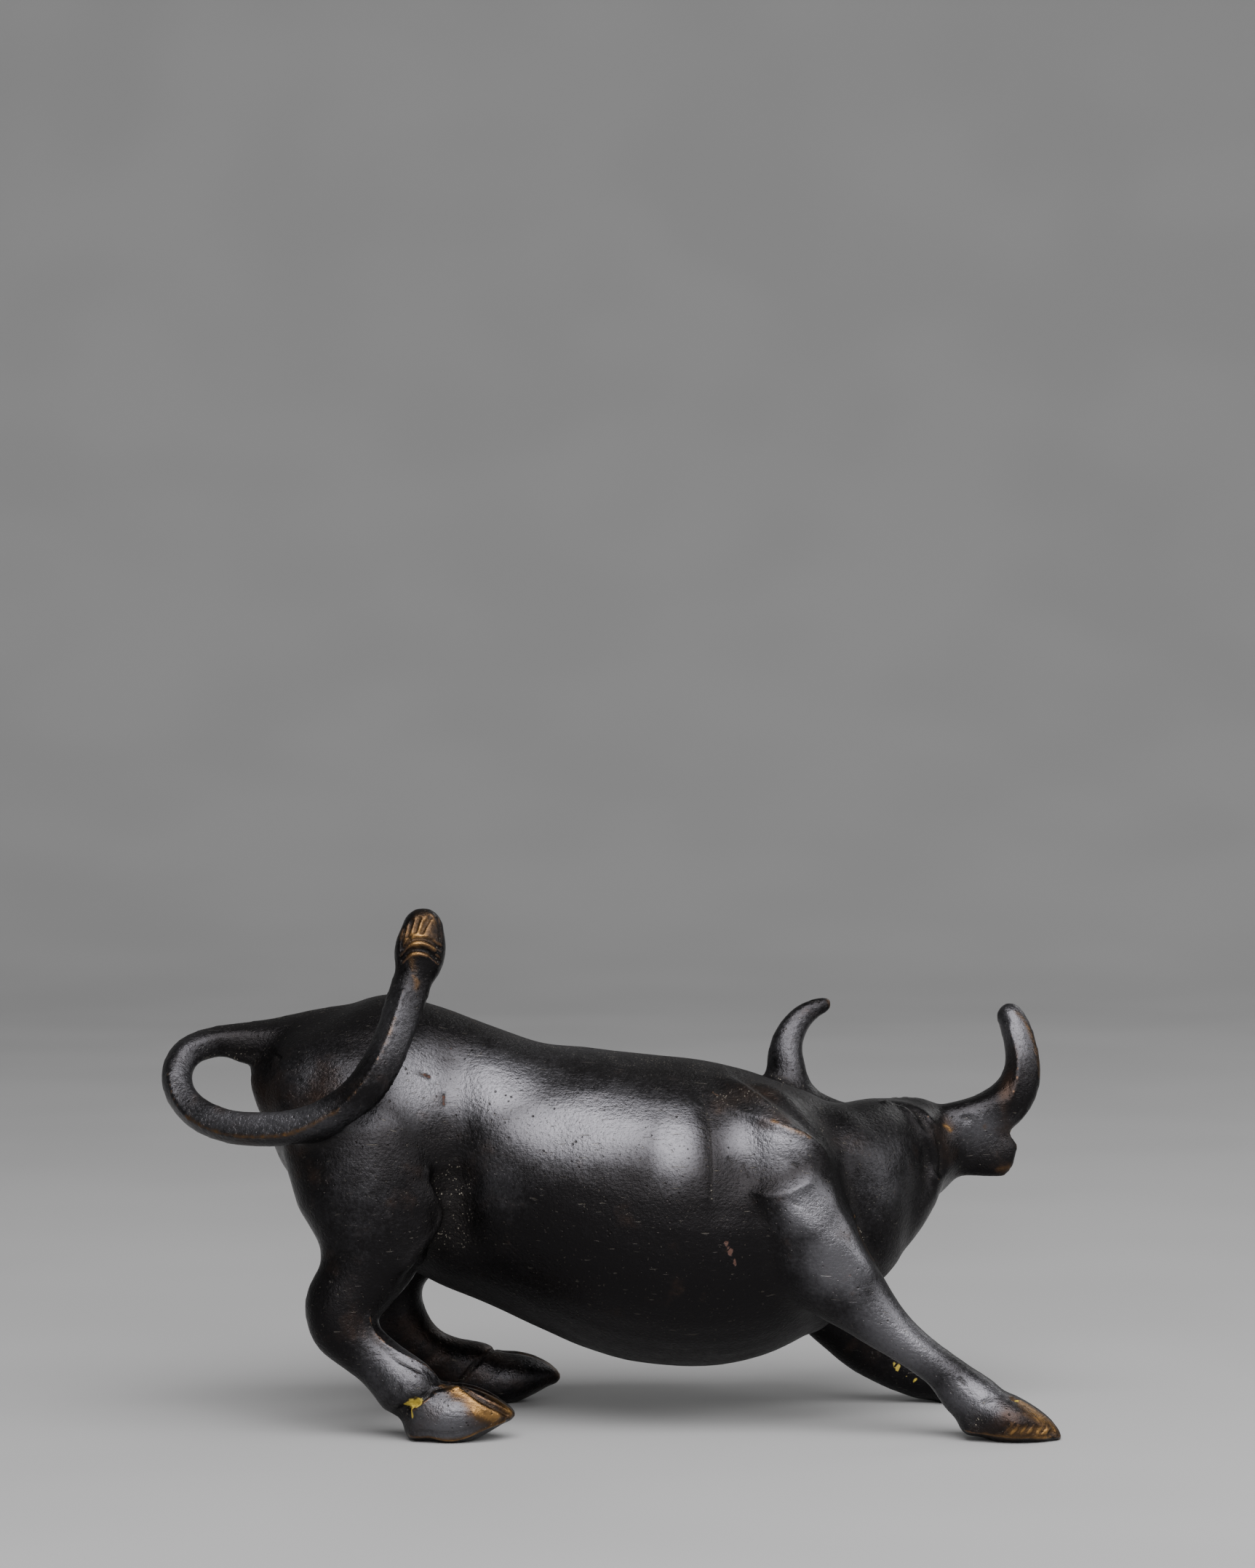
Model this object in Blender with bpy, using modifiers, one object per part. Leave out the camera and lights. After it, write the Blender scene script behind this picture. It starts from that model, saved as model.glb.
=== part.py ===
"""Cast bronze bull, about 200 mm long: rump high, forelegs stretched forward, head turned to its left.

The casting is one solid. Each limb is a profile carried along a path, given by a few stations; the lofts
are melted into one skin, the hollows between them are filled to soft fillets, the larger folds are cut
as strokes, and the hooves are cut flat where they stand.

Axes: +X the way the body points, +Y the bull's left, where the head looks, +Z up.
"""

import bmesh
import bpy
import numpy as np

# Driving size, in metres: tail loop to near fore hoof.
BULL_LENGTH = 0.200

# The figure's stations, fillets and carving are shares of its length: at 200 mm one unit is a millimetre.
UNIT = BULL_LENGTH / 200
SKIN_CELL = 0.85 * UNIT  # cell of the melted skin
SOLE_HEIGHT = 0.9 * UNIT  # where the hooves are ground flat, in the stations' frame
BOX_MIDDLE_X = -0.79 * UNIT  # middle of the figure's box in the stations' frame
BOX_MIDDLE_Y = 10.51 * UNIT

SKIN_FACES = 9600  # triangles kept in the solid
LOFT_RINGS = 56
LOFT_SIDES = 36
CAP_RINGS = 7
FILLET_ROUNDS = 18
EVEN_ROUNDS = 4

BRONZE_COLOUR = (0.045, 0.038, 0.034, 1.0)
BRONZE_ROUGHNESS = 0.34
BRONZE_METALLIC = 0.75

LEFTWARD = (0, 1, 0)
FORWARD = (1, 0, 0)

# Stations: x, y, z of the centre, half depth in the plane of the path, half width across it.
TORSO = [
    (-78.3, 0, 78.4, 1.8, 4.5),
    (-77.7, 0, 76.8, 5.9, 8.4),
    (-75.5, 0, 74.2, 11.5, 14.0),
    (-72.3, 0, 72.3, 15.8, 18.5),
    (-68.8, 0, 71.4, 18.4, 21.0),
    (-65.0, 0, 70.7, 20.4, 22.3),
    (-60.3, 0, 69.0, 24.0, 23.0),
    (-50.4, 0, 66.5, 29.5, 23.0),
    (-40.9, 0, 63.2, 30.8, 21.5),
    (-28.4, 0, 58.3, 31.2, 23.5),
    (-16.8, 0, 53.6, 31.8, 26.5),
    (-5.3, 0, 50.5, 33.6, 29.5),
    (6.2, 0, 48.3, 34.4, 31.5),
    (17.9, 0, 47.3, 34.2, 32.0),
    (29.3, 0, 46.8, 32.4, 30.0),
    (38.0, 0.3, 46.7, 29.3, 26.5),
    (45.0, 0.8, 47.6, 25.8, 22.0),
    (50.0, 1.5, 49.0, 21.0, 17.0),
]
NECK = [
    (36.0, 0.5, 52.5, 23.5, 22.0),
    (45.0, 1.5, 53.5, 20.8, 19.5),
    (53.0, 4.0, 55.8, 17.0, 16.5),
    (58.5, 8.5, 58.6, 13.8, 13.2),
    (60.5, 14.0, 59.5, 12.0, 12.0),
]
DEWLAP = [
    (42.0, 0.0, 28.5, 8.5, 9.0),
    (48.5, 0.0, 34.5, 8.0, 9.0),
    (54.8, 0.5, 40.1, 7.9, 8.5),
    (61.4, 2.8, 46.2, 7.6, 8.0),
    (66.0, 7.5, 51.8, 6.9, 7.5),
]
HEAD = [
    (64.5, 9.0, 62.6, 8.5, 9.0),
    (65.6, 13.5, 61.0, 11.3, 13.3),
    (65.0, 19.8, 58.0, 12.0, 13.3),
    (64.2, 27.0, 54.6, 11.0, 11.3),
    (63.3, 34.2, 51.2, 9.3, 9.4),
    (62.6, 40.5, 48.3, 8.3, 8.8),
    (62.0, 45.8, 45.8, 7.8, 9.3),
    (61.6, 49.0, 44.3, 6.3, 7.6),
]
RIGHT_HORN = [
    (70.0, 14.0, 64.0, 5.0, 4.8),
    (77.0, 14.3, 65.3, 5.2, 4.8),
    (82.6, 14.8, 66.9, 5.0, 4.6),
    (87.7, 15.6, 69.3, 5.1, 4.5),
    (91.1, 16.8, 73.3, 4.4, 4.2),
    (92.5, 18.4, 78.7, 3.8, 3.8),
    (91.9, 20.0, 83.6, 3.5, 3.5),
    (90.6, 21.3, 87.8, 3.2, 3.2),
    (89.8, 21.8, 89.4, 3.0, 3.0),
]
LEFT_HORN = [
    (60.0, 13.0, 62.5, 5.0, 4.8),
    (53.0, 13.7, 64.8, 5.0, 4.8),
    (47.2, 14.6, 66.9, 4.9, 4.6),
    (42.9, 15.6, 69.4, 4.8, 4.5),
    (40.1, 16.8, 73.2, 4.6, 4.3),
    (39.0, 18.2, 78.0, 4.4, 4.0),
    (39.1, 19.6, 82.8, 3.7, 3.4),
    (41.0, 20.8, 87.0, 3.1, 2.9),
    (44.1, 21.7, 90.2, 2.5, 2.4),
    (47.9, 22.2, 91.9, 1.9, 1.9),
]
RIGHT_EAR = [
    (74.0, 14.5, 60.0, 6.0, 4.2),
    (81.0, 14.3, 59.4, 5.8, 3.2),
    (86.4, 13.8, 58.6, 5.4, 2.5),
    (88.8, 13.5, 57.8, 4.8, 1.9),
]
LEFT_EAR = [
    (57.0, 16.0, 60.0, 6.0, 4.2),
    (50.5, 20.0, 59.2, 5.6, 3.2),
    (46.0, 24.5, 58.8, 5.0, 2.5),
    (44.4, 27.0, 58.4, 4.2, 1.9),
]
NEAR_HIND_LEG = [
    (-57.5, -11.0, 76.0, 14.0, 11.5),
    (-57.0, -14.5, 67.5, 16.0, 12.0),
    (-55.0, -16.5, 59.9, 16.2, 12.5),
    (-52.9, -18.0, 52.2, 15.9, 12.0),
    (-52.6, -19.0, 45.9, 14.0, 10.5),
    (-53.7, -20.0, 39.6, 11.2, 8.5),
    (-56.2, -21.0, 34.2, 9.0, 7.2),
    (-59.2, -22.0, 29.5, 8.1, 6.6),
    (-58.7, -22.5, 25.0, 7.5, 6.2),
    (-55.4, -23.0, 21.0, 6.2, 5.5),
    (-51.2, -24.0, 17.6, 5.8, 5.3),
    (-47.2, -25.0, 14.2, 6.4, 5.8),
    (-44.2, -25.6, 11.4, 7.0, 6.5),
    (-42.3, -26.0, 9.6, 6.2, 6.4),
]
NEAR_HIND_HOOF = [
    (-42.3, -26.0, 3.6, 3.3, 5.6),
    (-40.0, -26.0, 5.4, 5.6, 7.3),
    (-35.2, -26.0, 6.3, 7.0, 8.3),
    (-29.7, -26.0, 6.8, 5.8, 7.3),
    (-25.0, -26.0, 6.8, 3.4, 5.2),
    (-22.5, -26.0, 6.6, 1.8, 2.9),
]
FAR_HIND_LEG = [
    (-55.5, 11.0, 76.0, 14.0, 11.5),
    (-52.5, 14.5, 67.0, 16.5, 12.0),
    (-51.0, 16.5, 59.0, 16.4, 12.5),
    (-49.0, 18.0, 51.0, 15.0, 12.0),
    (-48.0, 19.0, 44.0, 13.0, 10.5),
    (-49.0, 20.0, 37.5, 11.0, 8.5),
    (-51.2, 21.0, 31.5, 9.2, 7.2),
    (-51.6, 22.0, 25.5, 8.3, 6.3),
    (-48.8, 22.5, 18.6, 7.4, 5.9),
    (-43.2, 23.0, 13.0, 6.1, 5.6),
    (-36.7, 24.0, 9.6, 6.2, 5.6),
    (-31.0, 25.0, 7.8, 6.7, 6.2),
    (-28.0, 25.6, 6.8, 6.2, 6.4),
]
FAR_HIND_HOOF = [
    (-34.5, 26.0, 4.1, 3.6, 5.0),
    (-31.5, 26.0, 5.3, 5.4, 7.2),
    (-27.1, 26.0, 5.8, 6.0, 8.2),
    (-21.9, 26.0, 6.7, 5.6, 8.0),
    (-18.3, 26.0, 7.0, 4.5, 6.5),
    (-15.2, 26.0, 6.9, 3.0, 4.6),
    (-13.2, 26.0, 6.5, 1.8, 2.8),
]
NEAR_FORELEG = [
    (27.0, -6.0, 73.0, 6.0, 6.0),
    (32.0, -11.5, 67.0, 11.0, 10.0),
    (35.0, -15.5, 60.0, 13.3, 12.0),
    (37.5, -18.0, 51.5, 13.5, 12.0),
    (42.0, -19.6, 43.5, 12.2, 11.0),
    (47.1, -20.8, 37.0, 10.0, 9.2),
    (53.3, -22.0, 31.0, 7.8, 7.2),
    (59.9, -23.0, 24.8, 5.6, 5.6),
    (66.1, -24.0, 19.9, 4.4, 4.8),
    (72.3, -24.5, 15.2, 4.5, 4.6),
    (76.7, -25.0, 10.9, 5.6, 5.2),
    (80.4, -25.6, 8.2, 5.8, 6.0),
]
NEAR_FORE_HOOF = [
    (78.0, -26.0, 4.7, 3.0, 5.2),
    (82.8, -26.0, 5.9, 5.5, 7.4),
    (88.5, -26.0, 4.6, 5.0, 8.0),
    (91.5, -26.0, 3.7, 4.1, 7.0),
    (94.5, -26.0, 2.7, 3.0, 5.2),
    (96.5, -26.0, 1.9, 1.8, 3.2),
]
FAR_FORELEG = [
    (27.0, 6.0, 73.0, 6.0, 6.0),
    (32.0, 11.5, 67.0, 11.0, 10.0),
    (35.0, 15.5, 60.0, 13.3, 12.0),
    (36.5, 18.0, 50.5, 13.2, 12.0),
    (39.5, 19.4, 41.0, 12.2, 11.0),
    (43.2, 20.4, 33.0, 10.6, 9.3),
    (48.0, 21.6, 25.2, 8.9, 7.8),
    (53.2, 22.5, 18.4, 7.3, 6.5),
    (58.3, 23.5, 12.9, 6.1, 5.6),
    (63.3, 24.2, 9.3, 5.2, 5.1),
    (67.5, 24.8, 7.4, 5.0, 5.0),
    (71.0, 25.5, 6.0, 4.9, 5.6),
]
FAR_FORE_HOOF = [
    (70.5, 26.0, 4.6, 3.0, 5.4),
    (74.0, 26.0, 5.4, 4.9, 7.2),
    (78.5, 26.0, 4.5, 4.8, 7.6),
    (81.5, 26.0, 3.6, 3.9, 6.8),
    (84.5, 26.0, 2.6, 2.8, 5.0),
    (86.3, 26.0, 1.9, 1.7, 3.2),
]
TAIL = [
    (-56.0, 0.0, 87.0, 7.0, 8.0),
    (-64.0, 0.0, 86.0, 6.6, 7.0),
    (-71.0, 0.0, 85.2, 6.0, 5.9),
    (-77.5, -0.5, 85.3, 4.8, 4.8),
    (-84.0, -1.5, 85.8, 3.6, 3.8),
    (-89.5, -3.0, 85.3, 3.2, 3.5),
    (-94.2, -5.5, 83.3, 3.2, 3.4),
    (-96.2, -9.0, 79.3, 3.3, 3.3),
    (-94.8, -13.0, 74.6, 3.3, 3.3),
    (-90.8, -17.0, 71.0, 3.4, 3.3),
    (-84.5, -21.0, 68.9, 3.5, 3.3),
    (-76.3, -25.0, 68.4, 3.6, 3.3),
    (-68.2, -28.0, 69.5, 3.6, 3.4),
    (-60.9, -30.0, 72.3, 3.6, 3.4),
    (-55.1, -30.3, 76.5, 3.6, 3.4),
    (-50.4, -29.5, 82.7, 3.7, 3.4),
    (-46.9, -27.0, 90.5, 3.9, 3.4),
    (-44.6, -24.0, 97.3, 4.1, 3.4),
    (-43.2, -22.0, 101.9, 4.1, 3.4),
]
TUFT = [
    (-43.0, -22.0, 101.8, 4.4, 3.8),
    (-42.5, -21.2, 103.5, 5.2, 4.6),
    (-42.2, -20.6, 106.0, 5.7, 5.2),
    (-41.7, -20.0, 109.3, 5.5, 5.1),
    (-41.4, -19.6, 112.0, 4.7, 4.4),
]

# Each loft: its stations, and the direction across it at its start and at its end.
LOFTS = [
    (TORSO, LEFTWARD, LEFTWARD),
    (NECK, LEFTWARD, (-1, 0.2, 0)),
    (DEWLAP, LEFTWARD, (-1, 0.6, 0)),
    (HEAD, FORWARD, FORWARD),
    (RIGHT_HORN, LEFTWARD, LEFTWARD),
    (LEFT_HORN, LEFTWARD, LEFTWARD),
    (RIGHT_EAR, LEFTWARD, LEFTWARD),
    (LEFT_EAR, (0.6, 0.8, 0), (0.6, 0.8, 0)),
    (NEAR_HIND_LEG, LEFTWARD, LEFTWARD),
    (NEAR_HIND_HOOF, LEFTWARD, LEFTWARD),
    (FAR_HIND_LEG, LEFTWARD, LEFTWARD),
    (FAR_HIND_HOOF, LEFTWARD, LEFTWARD),
    (NEAR_FORELEG, LEFTWARD, LEFTWARD),
    (NEAR_FORE_HOOF, LEFTWARD, LEFTWARD),
    (FAR_FORELEG, LEFTWARD, LEFTWARD),
    (FAR_FORE_HOOF, LEFTWARD, LEFTWARD),
    (TAIL, LEFTWARD, LEFTWARD),
    (TUFT, LEFTWARD, LEFTWARD),
]

NEAR, FAR = -1, 1

# Strokes on a flank: the kind, the flank, how far it reaches, its height, and its path in x and z.
# A swell rises about its path, or sinks where its height is negative; a fold rises on one side of its
# path and sinks on the other.
FLANK_STROKES = [
    (
        "fold", NEAR, 4.5, 1.5,
        [(-47.0, 34.0), (-42.1, 40.7), (-38.9, 45.7), (-37.2, 49.3), (-37.8, 53.0), (-40.2, 58.0)],
    ),
    ("swell", NEAR, 5.0, -2.0, [(-33.6, 56.0), (-32.8, 45.0)]),
    ("swell", NEAR, 5.5, -1.3, [(-34.5, 82.0), (-33.8, 58.0)]),
    ("swell", NEAR, 9.0, 1.0, [(-50.0, 78.0), (-45.0, 71.0)]),
    ("swell", NEAR, 9.0, 0.8, [(-24.0, 64.0), (-17.0, 57.0)]),
    (
        "fold", NEAR, 4.5, 0.45,
        [(21.8, 48.0), (20.8, 54.5), (19.7, 62.4), (18.9, 70.7), (18.0, 76.5), (17.3, 80.0)],
    ),
    ("swell", NEAR, 4.5, -0.5, [(24.4, 52.0), (23.4, 62.0), (22.4, 74.0)]),
    (
        "fold", NEAR, 5.5, 1.5,
        [(48.5, 60.0), (45.8, 64.2), (42.4, 67.6), (37.6, 71.3), (32.1, 75.2), (23.5, 79.8)],
    ),
    ("swell", NEAR, 4.5, -0.8, [(29.5, 60.5), (38.0, 61.5)]),
    ("swell", NEAR, 2.4, 0.7, [(33.0, 54.4), (38.0, 55.2), (43.5, 57.8)]),
    ("swell", NEAR, 7.0, 0.9, [(41.0, 52.0), (46.0, 46.0)]),
    ("fold", NEAR, 3.5, 0.9, [(58.5, 37.0), (54.9, 41.7), (52.0, 47.2), (49.1, 53.0), (47.6, 58.5)]),
    (
        "fold", NEAR, 4.0, -1.0,
        [(72.5, 50.6), (71.1, 55.1), (71.5, 58.6), (71.0, 63.2), (69.5, 67.5), (67.0, 71.5)],
    ),
    (
        "fold", NEAR, 1.8, -0.5,
        [(-45.9, 6.9), (-44.5, 8.7), (-40.1, 11.4), (-37.9, 13.1), (-35.4, 14.2)],
    ),
    (
        "fold", FAR, 4.5, 1.5,
        [(-42.0, 34.0), (-37.1, 40.7), (-33.9, 45.7), (-32.2, 49.3), (-32.8, 53.0), (-35.2, 58.0)],
    ),
    ("swell", FAR, 5.0, -2.0, [(-28.6, 56.0), (-27.8, 45.0)]),
    ("swell", FAR, 5.5, -1.3, [(-30.5, 82.0), (-29.8, 58.0)]),
    ("fold", FAR, 4.5, 1.0, [(21.8, 48.0), (20.8, 54.5), (19.7, 62.4), (18.9, 70.7), (17.3, 80.0)]),
    ("fold", FAR, 5.0, 1.3, [(45.8, 64.2), (42.4, 67.6), (37.6, 71.3), (32.1, 75.2), (23.5, 79.8)]),
]

# Marks in the round: how far they reach, their height, and their path in x, y and z.
ROUND_MARKS = [
    (3.6, 2.2, [(-82.0, -5.5, 80.4), (-78.0, -7.0, 77.4), (-74.5, -9.0, 72.5)]),
    (2.6, 1.9, [(76.0, 24.0, 58.2), (75.8, 25.4, 57.8)]),
    (2.6, 1.9, [(52.8, 24.6, 58.2), (53.0, 26.0, 57.8)]),
    (2.0, 1.2, [(72.5, 19.0, 65.5), (74.8, 23.0, 63.2), (74.4, 28.0, 60.4)]),
    (2.0, 1.2, [(57.3, 19.6, 65.5), (54.2, 23.8, 63.2), (54.2, 28.8, 60.4)]),
    (1.7, -1.5, [(66.5, 48.5, 49.6), (66.5, 49.8, 48.6)]),
    (1.7, -1.5, [(57.6, 48.8, 49.6), (57.6, 50.0, 48.6)]),
    (
        1.1, -0.9,
        [(70.9, 39.0, 42.4), (69.0, 47.0, 40.2), (61.8, 53.5, 40.5), (54.4, 47.2, 40.2), (53.3, 39.4, 42.4)],
    ),
    (1.1, -1.1, [(-37.0, -26.0, 13.6), (-30.0, -26.0, 12.4), (-22.0, -26.0, 7.0)]),
    (1.1, -1.1, [(-26.0, 26.0, 12.0), (-20.0, 26.0, 11.8), (-12.8, 26.0, 6.6)]),
    (1.1, -1.1, [(83.5, -26.0, 11.4), (91.5, -26.0, 7.9), (98.0, -26.0, 2.4)]),
    (1.1, -1.1, [(73.5, 26.0, 10.8), (81.5, 26.0, 7.6), (87.5, 26.0, 2.4)]),
]


def unit_rows(vectors):
    """Each row divided by its own length."""
    return vectors / np.linalg.norm(vectors, axis=1, keepdims=True)


def eased(stations, count):
    """Stations read at even steps of a smooth curve through them, with tangents from their neighbours."""
    rows = np.array(stations, float)
    steps = np.linalg.norm(np.diff(rows[:, :3], axis=0), axis=1)
    along = np.concatenate([[0], np.cumsum(steps)])
    slopes = np.gradient(rows, along, axis=0)
    at = np.linspace(0, along[-1], count)
    left = np.clip(np.searchsorted(along, at, side="right") - 1, 0, len(rows) - 2)
    span = (along[left + 1] - along[left])[:, None]
    t = (at - along[left])[:, None] / span
    return (
        (2 * t**3 - 3 * t**2 + 1) * rows[left]
        + (t**3 - 2 * t**2 + t) * span * slopes[left]
        + (3 * t**2 - 2 * t**3) * rows[left + 1]
        + (t**3 - t**2) * span * slopes[left + 1]
    )


def capped(centres, tangents, depths, widths):
    """The same rings with a round cap of shrinking rings added at each end."""
    turn = np.linspace(0, np.pi / 2, CAP_RINGS + 1)[1:]
    for end, sign in ((0, -1), (-1, 1)):
        reach = min(depths[end], widths[end])
        extra = centres[end] + sign * reach * np.sin(turn)[:, None] * tangents[end]
        shrink = np.maximum(np.cos(turn), 0.02)
        parts = (extra, np.repeat(tangents[[end]], CAP_RINGS, axis=0))
        radii = (depths[end] * shrink, widths[end] * shrink)
        if sign < 0:
            centres = np.vstack([parts[0][::-1], centres])
            tangents = np.vstack([parts[1], tangents])
            depths = np.concatenate([radii[0][::-1], depths])
            widths = np.concatenate([radii[1][::-1], widths])
        else:
            centres = np.vstack([centres, parts[0]])
            tangents = np.vstack([tangents, parts[1]])
            depths = np.concatenate([depths, radii[0]])
            widths = np.concatenate([widths, radii[1]])
    return centres, tangents, depths, widths


def loft(stations, across_start, across_end):
    """Points and faces of a closed tube: an ellipse carried along the smooth path through the stations.

    The torso's sections stand upright; every other loft's are square to its path.
    """
    rows = eased(stations, LOFT_RINGS) * UNIT
    centres = rows[:, :3]
    tangents = unit_rows(np.gradient(centres, axis=0))
    if stations is TORSO:
        tangents = np.tile(np.array(FORWARD, float), (LOFT_RINGS, 1))
    centres, tangents, depths, widths = capped(centres, tangents, rows[:, 3], rows[:, 4])
    share = np.linspace(0, 1, len(centres))[:, None]
    across = (1 - share) * np.array(across_start, float) + share * np.array(across_end, float)
    across = unit_rows(across - np.sum(across * tangents, axis=1)[:, None] * tangents)
    upward = np.cross(tangents, across)
    angle = np.linspace(0, 2 * np.pi, LOFT_SIDES, endpoint=False)[None, :, None]
    points = (
        centres[:, None]
        + across[:, None] * widths[:, None, None] * np.cos(angle)
        + upward[:, None] * depths[:, None, None] * np.sin(angle)
    )
    rings = len(centres)
    row, side = np.meshgrid(np.arange(rings - 1), np.arange(LOFT_SIDES), indexing="ij")
    after = (side + 1) % LOFT_SIDES
    faces = np.stack(
        [
            row * LOFT_SIDES + side,
            row * LOFT_SIDES + after,
            (row + 1) * LOFT_SIDES + after,
            (row + 1) * LOFT_SIDES + side,
        ],
        axis=-1,
    ).reshape(-1, 4)
    first = list(range(LOFT_SIDES))[::-1]
    last = list(range((rings - 1) * LOFT_SIDES, rings * LOFT_SIDES))
    return points.reshape(-1, 3), faces.tolist() + [first, last]


def new_object(name, points, faces):
    mesh = bpy.data.meshes.new(name)
    mesh.from_pydata(points.tolist(), [], faces)
    mesh.update()
    made = bpy.data.objects.new(name, mesh)
    group = bpy.data.collections.new("bull sculpture")
    bpy.context.scene.collection.children.link(group)
    group.objects.link(made)
    return made


def settled(made):
    """The object's modifiers applied to its mesh."""
    bpy.context.view_layer.update()
    graph = bpy.context.evaluated_depsgraph_get()
    mesh = bpy.data.meshes.new_from_object(made.evaluated_get(graph))
    made.modifiers.clear()
    made.data = mesh
    return made


def melted_lofts():
    """All lofts in one mesh, melted into one skin by a voxel remesh."""
    points, faces = [], []
    for stations, start, end in LOFTS:
        offset = sum(len(p) for p in points)
        new_points, new_faces = loft(stations, start, end)
        points.append(new_points)
        faces += [[i + offset for i in face] for face in new_faces]
    bull = new_object("bull", np.vstack(points), faces)
    melt = bull.modifiers.new("melt", "REMESH")
    melt.mode = "VOXEL"
    melt.voxel_size = SKIN_CELL
    return settled(bull)


def point_array(mesh):
    flat = np.empty(len(mesh.vertices) * 3)
    mesh.vertices.foreach_get("co", flat)
    return flat.reshape(-1, 3)


def normal_array(mesh):
    flat = np.empty(len(mesh.vertices) * 3)
    mesh.vertex_normals.foreach_get("vector", flat)
    return flat.reshape(-1, 3)


def place_points(mesh, points):
    mesh.vertices.foreach_set("co", points.astype(np.float32).ravel())
    mesh.update()


def neighbour_means(points, edges):
    """The mean of each point's neighbours along the edges."""
    ends = np.concatenate([edges, edges[:, ::-1]])
    count = np.bincount(ends[:, 0], minlength=len(points))
    sums = [np.bincount(ends[:, 0], weights=points[ends[:, 1], k], minlength=len(points)) for k in range(3)]
    return np.stack(sums, axis=1) / count[:, None]


def fill_hollows(bull, rounds, even_rounds):
    """Moves only the points that lie below their neighbours, which turns creases into fillets."""
    mesh = bull.data
    edges = np.empty(len(mesh.edges) * 2, int)
    mesh.edges.foreach_get("vertices", edges)
    edges = edges.reshape(-1, 2)
    points = point_array(mesh)
    for _ in range(rounds):
        rise = neighbour_means(points, edges) - points
        normals = normal_array(mesh)
        height = np.maximum(np.sum(rise * normals, axis=1), 0)
        points = points + 0.8 * height[:, None] * normals
        place_points(mesh, points)
    for _ in range(even_rounds):
        points = points + 0.5 * (neighbour_means(points, edges) - points)
    place_points(mesh, points)


def nearest(points, path):
    """Each point's distance from a path, its share of the way along it, and the side it lies on."""
    stops = eased(path, 4 * len(path))
    far = np.full(len(points), np.inf)
    share = np.zeros(len(points))
    side = np.zeros(len(points))
    for k in range(len(stops) - 1):
        leg = stops[k + 1] - stops[k]
        t = np.clip((points - stops[k]) @ leg / (leg @ leg), 0, 1)
        gap = points - stops[k] - t[:, None] * leg
        distance = np.linalg.norm(gap, axis=1)
        closer = distance < far
        far = np.where(closer, distance, far)
        share = np.where(closer, (k + t) / (len(stops) - 1), share)
        side = np.where(closer, np.sign(leg[0] * gap[:, -1] - leg[-1] * gap[:, 0]), side)
    return far, share, side


def carve(bull):
    """Raises and sinks the skin along its normals under each stroke and mark."""
    mesh = bull.data
    for kind, flank, reach, height, path in FLANK_STROKES:
        points = point_array(mesh)
        normals = normal_array(mesh)
        far, share, side = nearest(points[:, [0, 2]] / UNIT, path)
        fade = np.exp(-((far / reach) ** 2)) * np.clip(flank * normals[:, 1] * 2.2, 0, 1)
        if kind == "fold":
            fade = fade * side * np.tanh(far / 0.7) * np.clip(6 * share * (1 - share), 0, 1)
        place_points(mesh, points + height * UNIT * fade[:, None] * normals)
    for reach, height, path in ROUND_MARKS:
        points = point_array(mesh)
        far, _, _ = nearest(points / UNIT, path)
        fade = np.exp(-((far / reach) ** 2))
        place_points(mesh, points + height * UNIT * fade[:, None] * normal_array(mesh))


def thinned(bull, triangles):
    """Fewer triangles, kept where the surface bends."""
    mesh = bull.data
    mesh.calc_loop_triangles()
    thin = bull.modifiers.new("thin", "DECIMATE")
    thin.ratio = triangles / len(mesh.loop_triangles)
    thin.use_collapse_triangulate = True
    return settled(bull)


def ground_soles(bull):
    """Cuts the four hooves flat in one plane, on which the bull stands."""
    work = bmesh.new()
    work.from_mesh(bull.data)
    cut = bmesh.ops.bisect_plane(
        work,
        geom=work.verts[:] + work.edges[:] + work.faces[:],
        plane_co=(0, 0, SOLE_HEIGHT),
        plane_no=(0, 0, -1),
        clear_outer=True,
    )
    rim = [item for item in cut["geom_cut"] if isinstance(item, bmesh.types.BMEdge)]
    bmesh.ops.holes_fill(work, edges=rim, sides=0)
    bmesh.ops.triangulate(work, faces=work.faces[:])
    work.to_mesh(bull.data)
    work.free()


def stood_on_origin(bull):
    """Moves the skin so that the origin is under the middle of its box, at the soles."""
    points = point_array(bull.data)
    place_points(bull.data, points - np.array([BOX_MIDDLE_X, BOX_MIDDLE_Y, SOLE_HEIGHT]))


def bronze():
    material = bpy.data.materials.new("dark bronze")
    material.use_nodes = True
    shader = material.node_tree.nodes["Principled BSDF"]
    shader.inputs["Base Color"].default_value = BRONZE_COLOUR
    shader.inputs["Roughness"].default_value = BRONZE_ROUGHNESS
    shader.inputs["Metallic"].default_value = BRONZE_METALLIC
    return material


def main():
    for item in list(bpy.data.objects):
        bpy.data.objects.remove(item)
    bull = melted_lofts()
    fill_hollows(bull, FILLET_ROUNDS, EVEN_ROUNDS)
    carve(bull)
    thinned(bull, SKIN_FACES)
    ground_soles(bull)
    stood_on_origin(bull)
    bull.data.materials.append(bronze())
    bull.data.shade_smooth()


main()
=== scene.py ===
"""Cast bronze bull for a studio picture: the casting's skin, its worn patina, a pale sweep and soft light.

The skin follows the solid it stands for. Each limb is a profile carried along a path through a few
stations, the lofts are melted together, hollows are filled to fillets, and the modelling is cut as strokes:
broad ones first, then, on a finer skin, the marks of the engraver's tool and of use, each first laid on the
What wears, dusts or chips the bronze, and where shade is painted on it, is worked out for every point of the
skin and kept in attributes that the material reads.

Stations, strokes and marks are in millimetres on a figure 200 mm long; everything else is in metres.
Axes: +X the way the body points, +Y the bull's left, where the head looks, +Z up.
"""

from math import radians

import bmesh
import bpy
import numpy as np
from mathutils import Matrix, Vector
from mathutils.bvhtree import BVHTree


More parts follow.
